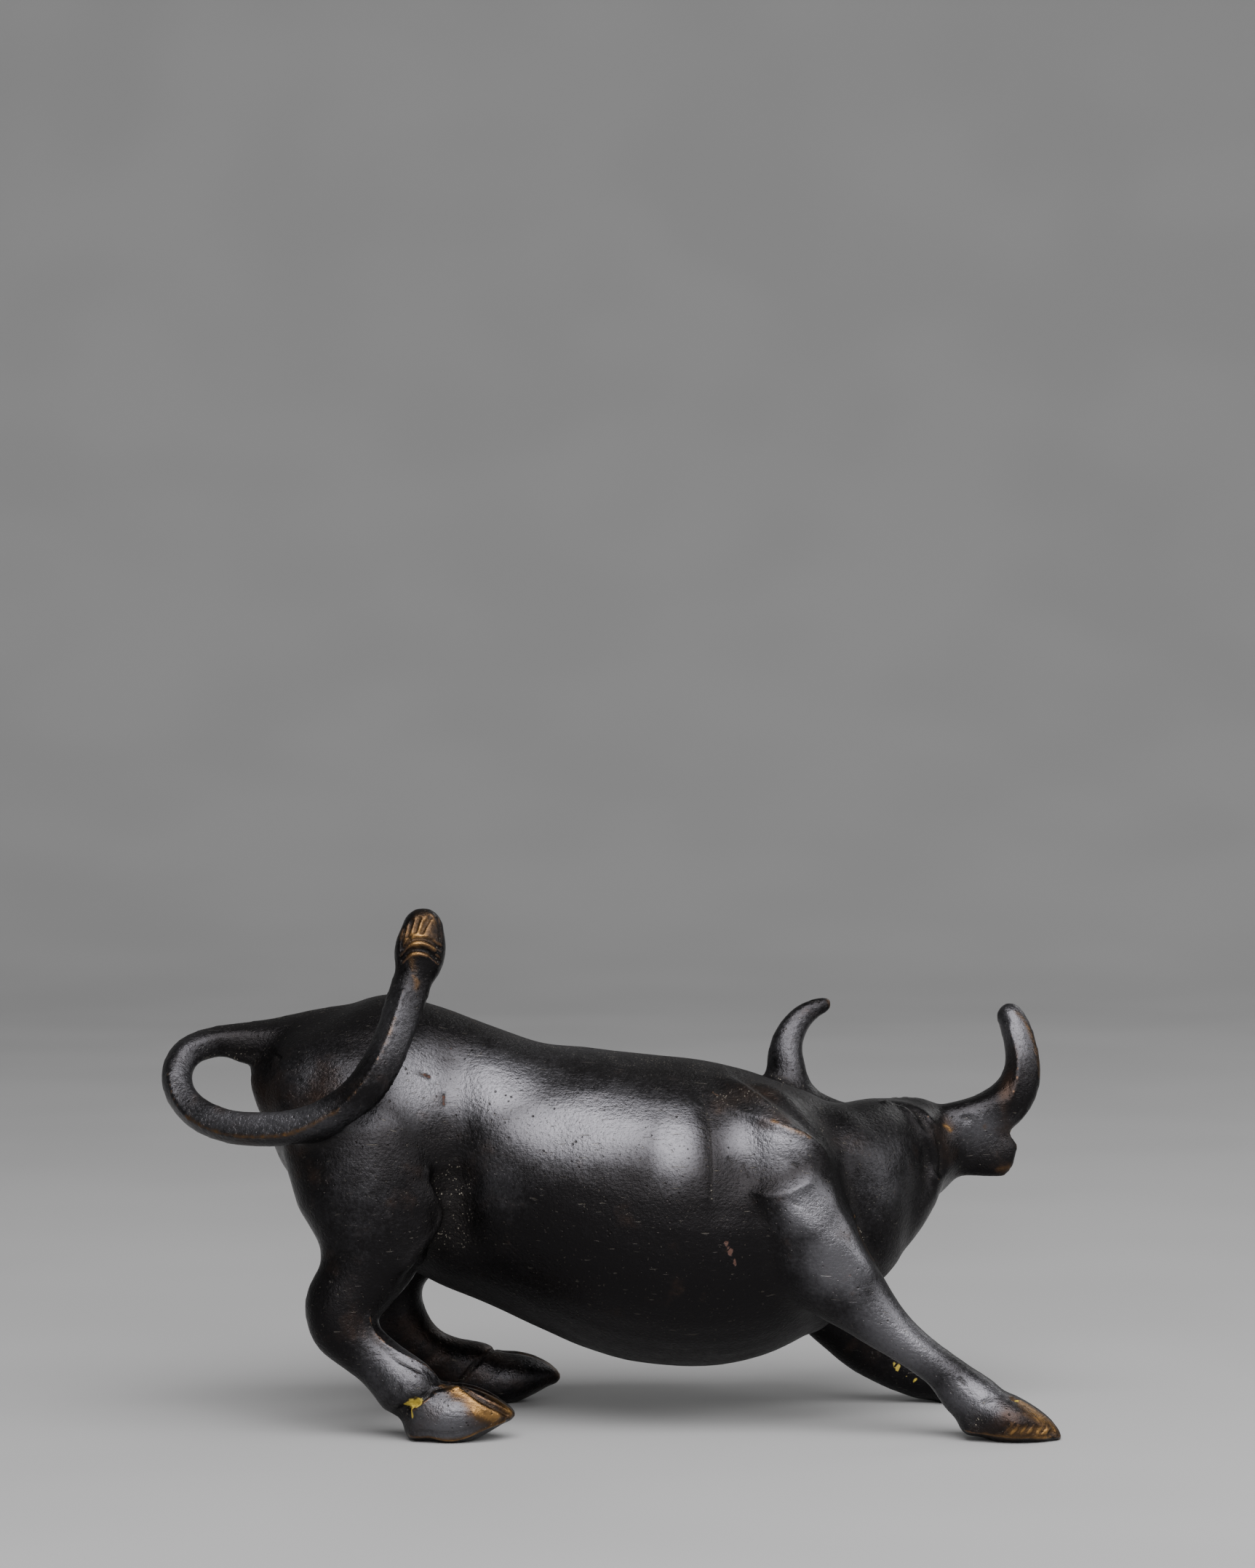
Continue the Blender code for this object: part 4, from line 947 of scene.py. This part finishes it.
def uneven(points, height):
    """The unevenness of a hand-worked skin: the sum of many weak waves with set, scattered directions."""
    scatter = np.random.default_rng(UNEVEN_SEED)
    way = unit_rows(scatter.normal(size=(UNEVEN_WAVES, 3)))
    length = scatter.uniform(*UNEVEN_LENGTHS, UNEVEN_WAVES)
    phase = scatter.uniform(0, 2 * np.pi, UNEVEN_WAVES)
    waves = np.sin(points @ (way * (2 * np.pi / length)[:, None]).T + phase)
    return height * waves.sum(axis=1) / np.sqrt(UNEVEN_WAVES)


def rest_on_soles(skin, sole_height):
    """Presses what reaches below the ground flat, which grinds the four hooves in one plane."""
    points = point_array(skin.data)
    points[:, 2] = np.maximum(points[:, 2], sole_height)
    place_points(skin.data, points)


def keep_values(mesh, name, values):
    """Keeps one number for each point of the mesh, for the material to read."""
    mesh.attributes.new(name, "FLOAT", "POINT").data.foreach_set("value", values.astype(np.float32))


def growth(values, start, span):
    """Nothing up to the start, then evenly up to one over the span."""
    return np.clip((values - start) / span, 0, 1)


def mark_wear(skin):
    """Works out, for each point, what use has left there, and where shade is painted.

    Edge and hollow come from the bend of the skin: how far a point lies above or below its neighbours'
    mean, over the square of their distance. A wide hollow is how far it lies below the same skin evened
    out often. The rest are bells about the worn places and the places of painted shade, and painted shade on
    the back's faces that look up and on the faces that look down.
    """
    mesh = skin.data
    points = point_array(mesh)
    normals = normal_array(mesh)
    edges = edge_array(mesh)
    rise = np.sum((neighbour_means(points, edges) - points) * normals, axis=1)
    length = np.linalg.norm(points[edges[:, 0]] - points[edges[:, 1]], axis=1) ** 2
    ends = edges.ravel()
    square = np.bincount(ends, np.repeat(length, 2)) / np.bincount(ends)
    bend = 2 * rise / square
    for _ in range(BEND_ROUNDS):
        bend = 0.5 * (bend + neighbour_means(bend, edges))
    broad = points
    for _ in range(BROAD_ROUNDS):
        broad = neighbour_means(broad, edges)
    sunk = np.sum((broad - points) * normals, axis=1)
    keep_values(mesh, "edge", np.clip((-bend - EDGE_BEND) * EDGE_GAIN, 0, 1))
    deep = np.maximum(bend * HOLLOW_GAIN, (sunk - SUNK_DEPTH) * HOLLOW_GAIN)
    keep_values(mesh, "hollow", np.clip(deep, 0, 1))
    for name, places in WORN_PLACES.items():
        value = np.zeros(len(points))
        for reach, strength, path in places:
            value = np.maximum(value, strength * bell(points, reach, path))
        keep_values(mesh, name, value)
    soft = {}
    for name, places in SOFT_PLACES.items():
        soft[name] = np.zeros(len(points))
        for middle, reach, strength in places:
            away = np.sum(((points - np.array(middle)) / np.array(reach)) ** 2, axis=1)
            soft[name] = np.maximum(soft[name], strength * np.exp(-away))
    height = points[:, 2]
    # Painted shade: the back's faces that look up and the faces that look down are darkened and dulled.
    top = growth(normals[:, 2], *TOP_SLOPE) * growth(height, *TOP_HEIGHT) * growth(-points[:, 0], *TOP_REAR)
    under = growth(-normals[:, 2], *UNDER_SLOPE) * growth(height, *UNDER_HEIGHT)
    painted_shade = np.maximum(TOP_PAINTED_SHADE * top, UNDER_PAINTED_SHADE * under)
    soft["dull"] = np.maximum(soft["dull"], painted_shade)
    for name, value in soft.items():
        keep_values(mesh, name, np.clip(value, 0, 1))


# Scales of the material's noise, per metre.
WIDE_CLOUDS, MIDDLE_CLOUDS, FINE_CLOUDS = 60.0, 260.0, 1300.0
CRUMB_CELLS, PORE_CELLS = 1500.0, 640.0

# Where each thing on the skin starts to show, and where it shows in full.
RAMPS = {
    "rubbed": (0.04, 0.95),
    "brown": (0.25, 1.0),
    "crumb": (0.30, 0.15),
    "crumb cluster": (-0.06, 0.08),
    "crumb hollow": (0.3, 0.95),
    "copper": (0.55, 1.05),
    "tawny": (0.15, 0.80),
    "yellow": (0.62, 1.15),
    "chip": (0.45, 0.62),
    "lime": (0.42, 0.66),
    "speck": (0.11, 0.06),
    "speck cluster": (0.58, 0.62),
    "pit": (0.22, 0.08),
    "pit cluster": (-0.02, 0.10),
    "nick": (0.70, 0.78),
}


class Bench:
    """Puts nodes into one material and joins them."""

    def __init__(self, material):
        material.use_nodes = True
        self.tree = material.node_tree
        self.shader = self.tree.nodes["Principled BSDF"]
        self.where = self.tree.nodes.new("ShaderNodeTexCoord").outputs["Object"]

    def put(self, socket, value):
        if isinstance(value, bpy.types.NodeSocket):
            self.tree.links.new(value, socket)
        else:
            socket.default_value = value

    def node(self, kind, settings=(), **inputs):
        made = self.tree.nodes.new(kind)
        for name, value in dict(settings).items():
            setattr(made, name, value)
        for name, value in inputs.items():
            self.put(made.inputs[name.replace("_", " ")], value)
        return made

    def reckon(self, how, a, b, limited=False):
        made = self.tree.nodes.new("ShaderNodeMath")
        made.operation = how
        made.use_clamp = limited
        self.put(made.inputs[0], a)
        self.put(made.inputs[1], b)
        return made.outputs[0]

    def plus(self, a, b, limited=False):
        return self.reckon("ADD", a, b, limited)

    def less(self, a, b):
        return self.reckon("SUBTRACT", a, b)

    def times(self, a, b):
        return self.reckon("MULTIPLY", a, b)

    def larger(self, a, b):
        return self.reckon("MAXIMUM", a, b)

    def heap(self, start, *parts):
        """The start, plus each part times its weight."""
        for value, weight in parts:
            start = self.plus(start, self.times(value, weight))
        return start

    def between(self, value, low, high, out_low=0.0, out_high=1.0):
        """The value's way from low to high, eased at both ends."""
        made = self.node("ShaderNodeMapRange", {"interpolation_type": "SMOOTHSTEP"}, Value=value)
        self.put(made.inputs["From Min"], low)
        self.put(made.inputs["From Max"], high)
        self.put(made.inputs["To Min"], out_low)
        self.put(made.inputs["To Max"], out_high)
        return made.outputs[0]

    def mixed(self, share, a, b):
        made = self.tree.nodes.new("ShaderNodeMix")
        made.data_type = "RGBA"
        self.put(made.inputs[0], share)
        self.put(made.inputs[6], a)
        self.put(made.inputs[7], b)
        return made.outputs[2]

    def ramp(self, name, value):
        """The value's way through the range of that name, eased at both ends."""
        return self.between(value, *RAMPS[name])

    def over(self, colour, cover, strength, new):
        """The colour, with the new one over it wherever the cover lies."""
        return self.mixed(self.times(cover, strength), colour, new)

    def kept(self, name):
        return self.node("ShaderNodeAttribute", {"attribute_name": name}).outputs["Fac"]

    def cloud(self, scale, detail, rough, where=None):
        """Soft noise about the given place, or about the object's own coordinates."""
        place = self.where if where is None else where
        made = self.node("ShaderNodeTexNoise", (), Vector=place, Scale=scale, Detail=detail, Roughness=rough)
        return made.outputs["Fac"]

    def streaks(self, angles, stretch, detail, rough):
        """Noise stretched along one direction."""
        turned = self.node("ShaderNodeMapping", (), Vector=self.where, Rotation=angles, Scale=stretch)
        return self.cloud(1.0, detail, rough, turned.outputs[0])

    def grains(self, scale):
        return self.node("ShaderNodeTexVoronoi", (), Vector=self.where, Scale=scale).outputs["Distance"]


def patinated_bronze(finish):
    """Dark patina on cast bronze, rubbed grey, worn to yellow metal, dulled in its hollows, with painted
    shade on the back's top, under the body and on the faces that look down.
    """
    material = bpy.data.materials.new("patinated bronze")
    bench = Bench(material)
    edge, hollow, dull = bench.kept("edge"), bench.kept("hollow"), bench.kept("dull")
    middle = bench.cloud(MIDDLE_CLOUDS, 4.0, 0.62)
    fine = bench.cloud(FINE_CLOUDS, 3.0, 0.65)
    wide = bench.less(bench.cloud(WIDE_CLOUDS, 3.0, 0.6), 0.5)
    swing = bench.less(middle, 0.5)
    grain = bench.less(fine, 0.5)

    # tone of the patina: dull in hollows, darkened by painted shade on the back's top, under the body and on
    # faces that look down, grey where hands rub it, brown in clouds
    rubbed = bench.ramp("rubbed", bench.heap(bench.kept("rub"), (swing, 0.36), (wide, 0.16), (grain, 0.42)))
    colour = bench.mixed(rubbed, finish.patina_colour, finish.rubbed_colour)
    brown = bench.ramp("brown", bench.plus(bench.heap(bench.kept("warm"), (wide, 2.2)), swing))
    colour = bench.over(colour, brown, 0.8, finish.brown_colour)
    # dull patina in the hollows, together with the painted shade on the back's top, under the body and on
    # faces that look down; it also lowers the metal and raises the roughness below
    dulled_and_shaded = bench.larger(dull, bench.times(hollow, 0.8))
    colour = bench.over(colour, dulled_and_shaded, 0.6, finish.dull_and_shade_colour)
    crumbs = bench.ramp("crumb", bench.less(bench.grains(CRUMB_CELLS), bench.times(grain, 0.6)))
    crumbs = bench.times(crumbs, bench.ramp("crumb cluster", swing))
    crumbs = bench.times(crumbs, bench.ramp("crumb hollow", dulled_and_shaded))
    colour = bench.over(colour, crumbs, 0.7, finish.crumb_colour)

    # worn edges, yellow metal, chips and residue, each with a ragged border
    brushed = bench.less(bench.streaks((0.5, 0.9, 0.2), (260.0, 2600.0, 420.0), 2.0, 0.6), 0.5)
    ragged = bench.plus(bench.times(swing, 1.1), bench.times(brushed, 0.6))
    copper = bench.ramp("copper", bench.heap(edge, (ragged, 1.4)))
    colour = bench.over(colour, copper, 0.6, finish.copper_colour)
    bare = bench.heap(bench.kept("yellow"), (edge, 0.15))
    tawny = bench.ramp("tawny", bench.heap(bare, (ragged, 0.8)))
    colour = bench.over(colour, tawny, 0.9, finish.tarnish_colour)
    yellow = bench.ramp("yellow", bench.plus(bench.heap(bare, (hollow, -0.5)), ragged))
    colour = bench.mixed(yellow, colour, finish.yellow_colour)
    chip = bench.ramp("chip", bench.plus(bench.kept("chip"), ragged))
    colour = bench.mixed(chip, colour, finish.chip_colour)
    lime = bench.ramp("lime", bench.plus(bench.kept("lime"), ragged))
    colour = bench.over(colour, lime, 0.9, finish.residue_colour)

    # pale specks, pores and short scratches
    pores = bench.grains(PORE_CELLS)
    speck = bench.times(bench.ramp("speck", pores), bench.ramp("speck cluster", fine))
    colour = bench.over(colour, speck, 0.28, finish.crumb_colour)
    pits = bench.times(bench.ramp("pit", pores), bench.ramp("pit cluster", swing))
    colour = bench.over(colour, pits, 0.7, finish.dull_and_shade_colour)
    scratches = (((0.3, 0.7, 1.0), (1500.0, 150.0, 1500.0)), ((-0.5, 0.2, 0.4), (170.0, 1600.0, 1600.0)))
    nick = bench.larger(*(bench.ramp("nick", bench.streaks(*way, 1.0, 0.5)) for way in scratches))
    colour = bench.over(colour, nick, 0.1, finish.crumb_colour)
    bench.put(bench.shader.inputs["Base Color"], colour)

    # metal where it is metal
    covered = bench.larger(lime, bench.larger(chip, bench.times(crumbs, 0.8)))
    metal = bench.larger(bench.less(0.92, bench.times(dulled_and_shaded, 0.15)), yellow)
    bench.put(bench.shader.inputs["Metallic"], bench.times(metal, bench.less(1.0, covered)))

    # gloss
    rough = bench.between(middle, 0.25, 0.75, finish.gloss - 0.05, finish.gloss + 0.07)
    rough = bench.heap(rough, (grain, 0.35), (dulled_and_shaded, 0.26), (rubbed, -0.05))
    bench.put(bench.shader.inputs["Roughness"], bench.plus(rough, bench.times(covered, 0.3), True))

    # relief: the cast skin's waves, grain and pores, file marks, crumbs
    filed = bench.streaks((0.25, 0.5, 0.35), (220.0, 3000.0, 3000.0), 2.0, 0.5)
    height = bench.heap(bench.times(middle, 0.5), (fine, 0.8), (filed, 0.16), (brushed, 0.14))
    height = bench.heap(height, (pits, -0.5), (nick, -0.3), (crumbs, 0.35), (chip, -0.4))
    height = bench.heap(height, (bench.times(fine, dulled_and_shaded), 0.9))
    bump = bench.node("ShaderNodeBump", (), Height=height, Strength=1.0, Distance=finish.relief)
    bench.put(bench.shader.inputs["Normal"], bump.outputs[0])
    return material


PAPER_SHADE = 0.94
PAPER_ROUGHNESS = 0.62


def pale_paper(studio):
    """Matt studio paper with a faint unevenness."""
    material = bpy.data.materials.new("studio paper")
    bench = Bench(material)
    share = bench.between(bench.cloud(9.0, 1.0, 0.5), 0.3, 0.7)
    shaded = [PAPER_SHADE * part for part in studio.floor_colour[:3]] + [1.0]
    bench.put(bench.shader.inputs["Base Color"], bench.mixed(share, shaded, list(studio.floor_colour)))
    bench.put(bench.shader.inputs["Roughness"], PAPER_ROUGHNESS)
    return material


FLOOR_FRONT = -1.9
FLOOR_HALF = 2.6
WALL_CLIMB = (0.3, 2.2)
FLOOR_STEPS, TURN_STEPS, WALL_STEPS, ACROSS_STEPS = 12, 25, 6, 9


def sweep_surface(studio):
    """Points and faces of the sweep: a floor, a quarter turn and a wall, one profile carried along X."""
    turn = np.linspace(0, np.pi / 2, TURN_STEPS)
    radius = studio.sweep_radius
    back = studio.sweep_depth
    floor = np.stack([np.linspace(FLOOR_FRONT, back, FLOOR_STEPS), np.zeros(FLOOR_STEPS)], axis=1)
    bend = np.stack([back + radius * np.sin(turn[1:]), radius * (1 - np.cos(turn[1:]))], axis=1)
    climb = radius + np.linspace(*WALL_CLIMB, WALL_STEPS)
    wall = np.stack([np.full(WALL_STEPS, back + radius), climb], axis=1)
    profile = np.vstack([floor, bend, wall])
    across = np.linspace(-FLOOR_HALF, FLOOR_HALF, ACROSS_STEPS)
    points = np.empty((len(profile), len(across), 3))
    points[:, :, 0] = across[None, :]
    points[:, :, 1] = profile[:, 0, None]
    points[:, :, 2] = profile[:, 1, None]
    row, column = np.meshgrid(np.arange(len(profile) - 1), np.arange(len(across) - 1), indexing="ij")
    one = row * len(across) + column
    faces = np.stack([one, one + 1, one + len(across) + 1, one + len(across)], axis=-1).reshape(-1, 4)
    return points.reshape(-1, 3), faces.tolist()


# Each light: its name, its place, the height it aims at, its size, its colour, and the setting of its power.
WHITE = (1.0, 1.0, 1.0)
LIGHTS = (
    ("soft box", (0.13, -0.73, 0.93), 0.05, (1.2, 1.0), (1.0, 0.99, 1.0), "key_power"),
    ("side box", (1.05, -0.29, 0.56), 0.05, (0.7, 0.7), WHITE, "side_power"),
    ("front panel", (0.1, -1.75, 0.50), 0.08, (2.6, 0.8), WHITE, "front_power"),
    ("back light", (0.7, 0.9, 0.8), 0.06, (0.5, 0.5), WHITE, "back_power"),
)
CAMERA_X = 0.00399


def soft_box(name, place, aim, size, tint, power):
    """An area light that faces the given height above the middle of the floor."""
    lamp = bpy.data.lights.new(name, "AREA")
    lamp.shape = "RECTANGLE"
    lamp.size, lamp.size_y = size
    lamp.energy = power
    lamp.color = tint
    box = bpy.data.objects.new(name, lamp)
    bpy.context.scene.collection.objects.link(box)
    box.visible_camera = False
    box.location = place
    box.rotation_euler = (Vector((0, 0, aim)) - Vector(place)).to_track_quat("-Z", "Y").to_euler()


def number(name, description, default, low=0.0, **more):
    return bpy.props.FloatProperty(name=name, description=description, default=default, min=low, **more)


def length(name, description, default, low=0.0, **more):
    return number(name, description, default, low, precision=5, unit="LENGTH", **more)


class CastingSettings(bpy.types.PropertyGroup):
    """Sizes of the casting's skin."""

    skin_cell: length("Skin cell", "Spacing of the melted skin's faces", UNIT, 0.5 * UNIT, max=3 * UNIT)
    fillet_rounds: bpy.props.IntProperty(
        name="Fillet rounds", description="How often the hollows are filled", default=16, min=0
    )
    mark_depth: number("Mark depth", "Depth of the small cuts, as a share of their own", 1.0, max=2.0)
    unevenness: length("Unevenness", "Height of the hand-made unevenness of the skin", 0.065 * UNIT)


def colour_property(name, description, default):
    more = {"size": 4, "min": 0.0, "max": 1.0, "subtype": "COLOR"}
    return bpy.props.FloatVectorProperty(name=name, description=description, default=(*default, 1.0), **more)


class FinishSettings(bpy.types.PropertyGroup):
    """Colours and gloss of the patina."""

    patina_colour: colour_property("Patina", "The darkest patina", (0.0105, 0.0096, 0.0102))
    rubbed_colour: colour_property("Rubbed patina", "Patina rubbed by hands", (0.105, 0.103, 0.112))
    brown_colour: colour_property("Brown patina", "The warmer clouds in the patina", (0.040, 0.024, 0.0172))
    # The dull patina also paints shade on the back's top, under the body and on the faces that look down.
    dull_and_shade_colour: colour_property("Dull patina", "Patina in hollows and under dust", (0.0095, 0.0075, 0.0068))
    crumb_colour: colour_property("Dust", "Pale crumbs that lie in the hollows", (0.28, 0.25, 0.20))
    copper_colour: colour_property("Worn edge", "Edges worn through to reddish metal", (0.13, 0.075, 0.045))
    yellow_colour: colour_property("Yellow metal", "Metal laid bare", (0.27, 0.150, 0.052))
    tarnish_colour: colour_property("Tarnish", "Tarnish on the bare metal", (0.085, 0.047, 0.020))
    chip_colour: colour_property("Chip", "Red-brown ground under chipped patina", (0.050, 0.017, 0.009))
    residue_colour: colour_property("Residue", "Old yellow polish in the creases", (0.42, 0.31, 0.03))
    gloss: number("Roughness", "Roughness of the patina", 0.34, max=1.0)
    relief: length("Relief", "Height of the fine relief", 0.00020)


class StudioSettings(bpy.types.PropertyGroup):
    """The sweep, the lights and the camera."""

    floor_colour: colour_property("Paper", "Colour of the paper sweep", (0.36, 0.36, 0.36))
    sweep_depth: length("Sweep depth", "Where the floor starts to rise", 1.1, 0.3)
    sweep_radius: length("Sweep radius", "Radius of the sweep's turn", 0.9, 0.1)
    key_power: number("Soft box", "Power of the large soft box", 28.0)
    side_power: number("Side box", "Power of the weaker box on the right", 5.0)
    front_power: number("Front panel", "Power of the pale panel behind the camera", 9.0)
    back_power: number("Back light", "Power of the weak light behind", 2.0)
    room_light: number("Room light", "Strength of the room's even light", 0.30)
    camera_distance: length("Camera distance", "From the figure's middle plane", 1.11051)
    camera_height: length("Camera height", "Above the floor", 0.1821)
    camera_tilt: number("Camera tilt", "Downward tilt", radians(2.1), subtype="ANGLE")
    camera_lens: number("Focal length", "On a 36 mm sensor", 113.88, 1.0)


class BULL_OT_cast_skin(bpy.types.Operator):
    """Makes the bronze skin of the bull and its patina, in place of the plain solid"""

    bl_idname = "bull.cast_skin"
    bl_label = "Cast the bull"

    def execute(self, context):
        casting = context.scene.bull_casting
        skin = melted_lofts(casting.skin_cell / UNIT)
        fill_hollows(skin, casting.fillet_rounds, EVEN_ROUNDS)
        carve_flanks(skin)
        marks = laid_on(skin, TUFT_MARKS + HOOF_MARKS + BODY_MARKS + FACE_MARKS)
        make_finer(skin, marks, *FINER)
        make_finer(skin, [mark for mark in marks if mark[0] <= FINEST_REACH], *FINEST)
        points = point_array(skin.data)
        wave = uneven(points, casting.unevenness / UNIT)
        place_points(skin.data, points + wave[:, None] * normal_array(skin.data))
        cut_marks(skin, marks, casting.mark_depth)
        rest_on_soles(skin, SOLE_HEIGHT)
        mark_wear(skin)
        points = point_array(skin.data)
        place_points(skin.data, UNIT * (points - np.array([*BOX_MIDDLE, SOLE_HEIGHT])))
        skin.data.shade_smooth()
        skin.data.materials.clear()
        skin.data.materials.append(patinated_bronze(context.scene.bull_finish))
        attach(skin, "root")
        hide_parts("bull")
        return {"FINISHED"}


class BULL_OT_studio(bpy.types.Operator):
    """Sets the pale sweep, the soft lights and the camera"""

    bl_idname = "bull.studio"
    bl_label = "Set the studio"

    def execute(self, context):
        scene = context.scene
        studio = scene.bull_studio
        sweep = new_piece("paper_sweep", *sweep_surface(studio))
        sweep.data.shade_smooth()
        sweep.data.materials.append(pale_paper(studio))
        for *light, power in LIGHTS:
            soft_box(*light, getattr(studio, power))
        world = bpy.data.worlds.new("studio room")
        scene.world = world
        world.use_nodes = True
        background = world.node_tree.nodes["Background"]
        background.inputs["Color"].default_value = (*WHITE, 1.0)
        background.inputs["Strength"].default_value = studio.room_light
        camera = bpy.data.objects.new("camera", bpy.data.cameras.new("camera"))
        camera.data.sensor_width = 36
        camera.data.lens = studio.camera_lens
        camera.location = (CAMERA_X, -studio.camera_distance, studio.camera_height)
        camera.rotation_euler = (radians(90) - studio.camera_tilt, 0, 0)
        scene.collection.objects.link(camera)
        scene.camera = camera
        return {"FINISHED"}


class BULL_PT_workshop(bpy.types.Panel):
    """Lists the sizes, the colours and the two steps"""

    bl_label = "Cast bronze bull"
    bl_idname = "BULL_PT_workshop"
    bl_space_type = "VIEW_3D"
    bl_region_type = "UI"
    bl_category = "Bull"

    def draw(self, context):
        layout = self.layout
        steps = (("bull_casting", "bull.cast_skin"), ("bull_finish", None), ("bull_studio", "bull.studio"))
        for group_name, operator in steps:
            group = getattr(context.scene, group_name)
            box = layout.box()
            for name in group.__annotations__:
                box.prop(group, name)
            if operator:
                box.operator(operator)


SETTINGS = (CastingSettings, FinishSettings, StudioSettings)
CLASSES = (*SETTINGS, BULL_OT_cast_skin, BULL_OT_studio, BULL_PT_workshop)


def register():
    for item in CLASSES:
        bpy.utils.register_class(item)
    bpy.types.Scene.bull_casting = bpy.props.PointerProperty(type=CastingSettings)
    bpy.types.Scene.bull_finish = bpy.props.PointerProperty(type=FinishSettings)
    bpy.types.Scene.bull_studio = bpy.props.PointerProperty(type=StudioSettings)


def unregister():
    del bpy.types.Scene.bull_studio
    del bpy.types.Scene.bull_finish
    del bpy.types.Scene.bull_casting
    for item in reversed(CLASSES):
        bpy.utils.unregister_class(item)


def main():
    register()
    bpy.ops.bull.cast_skin()
    bpy.ops.bull.studio()


if __name__ == "__main__":
    main()
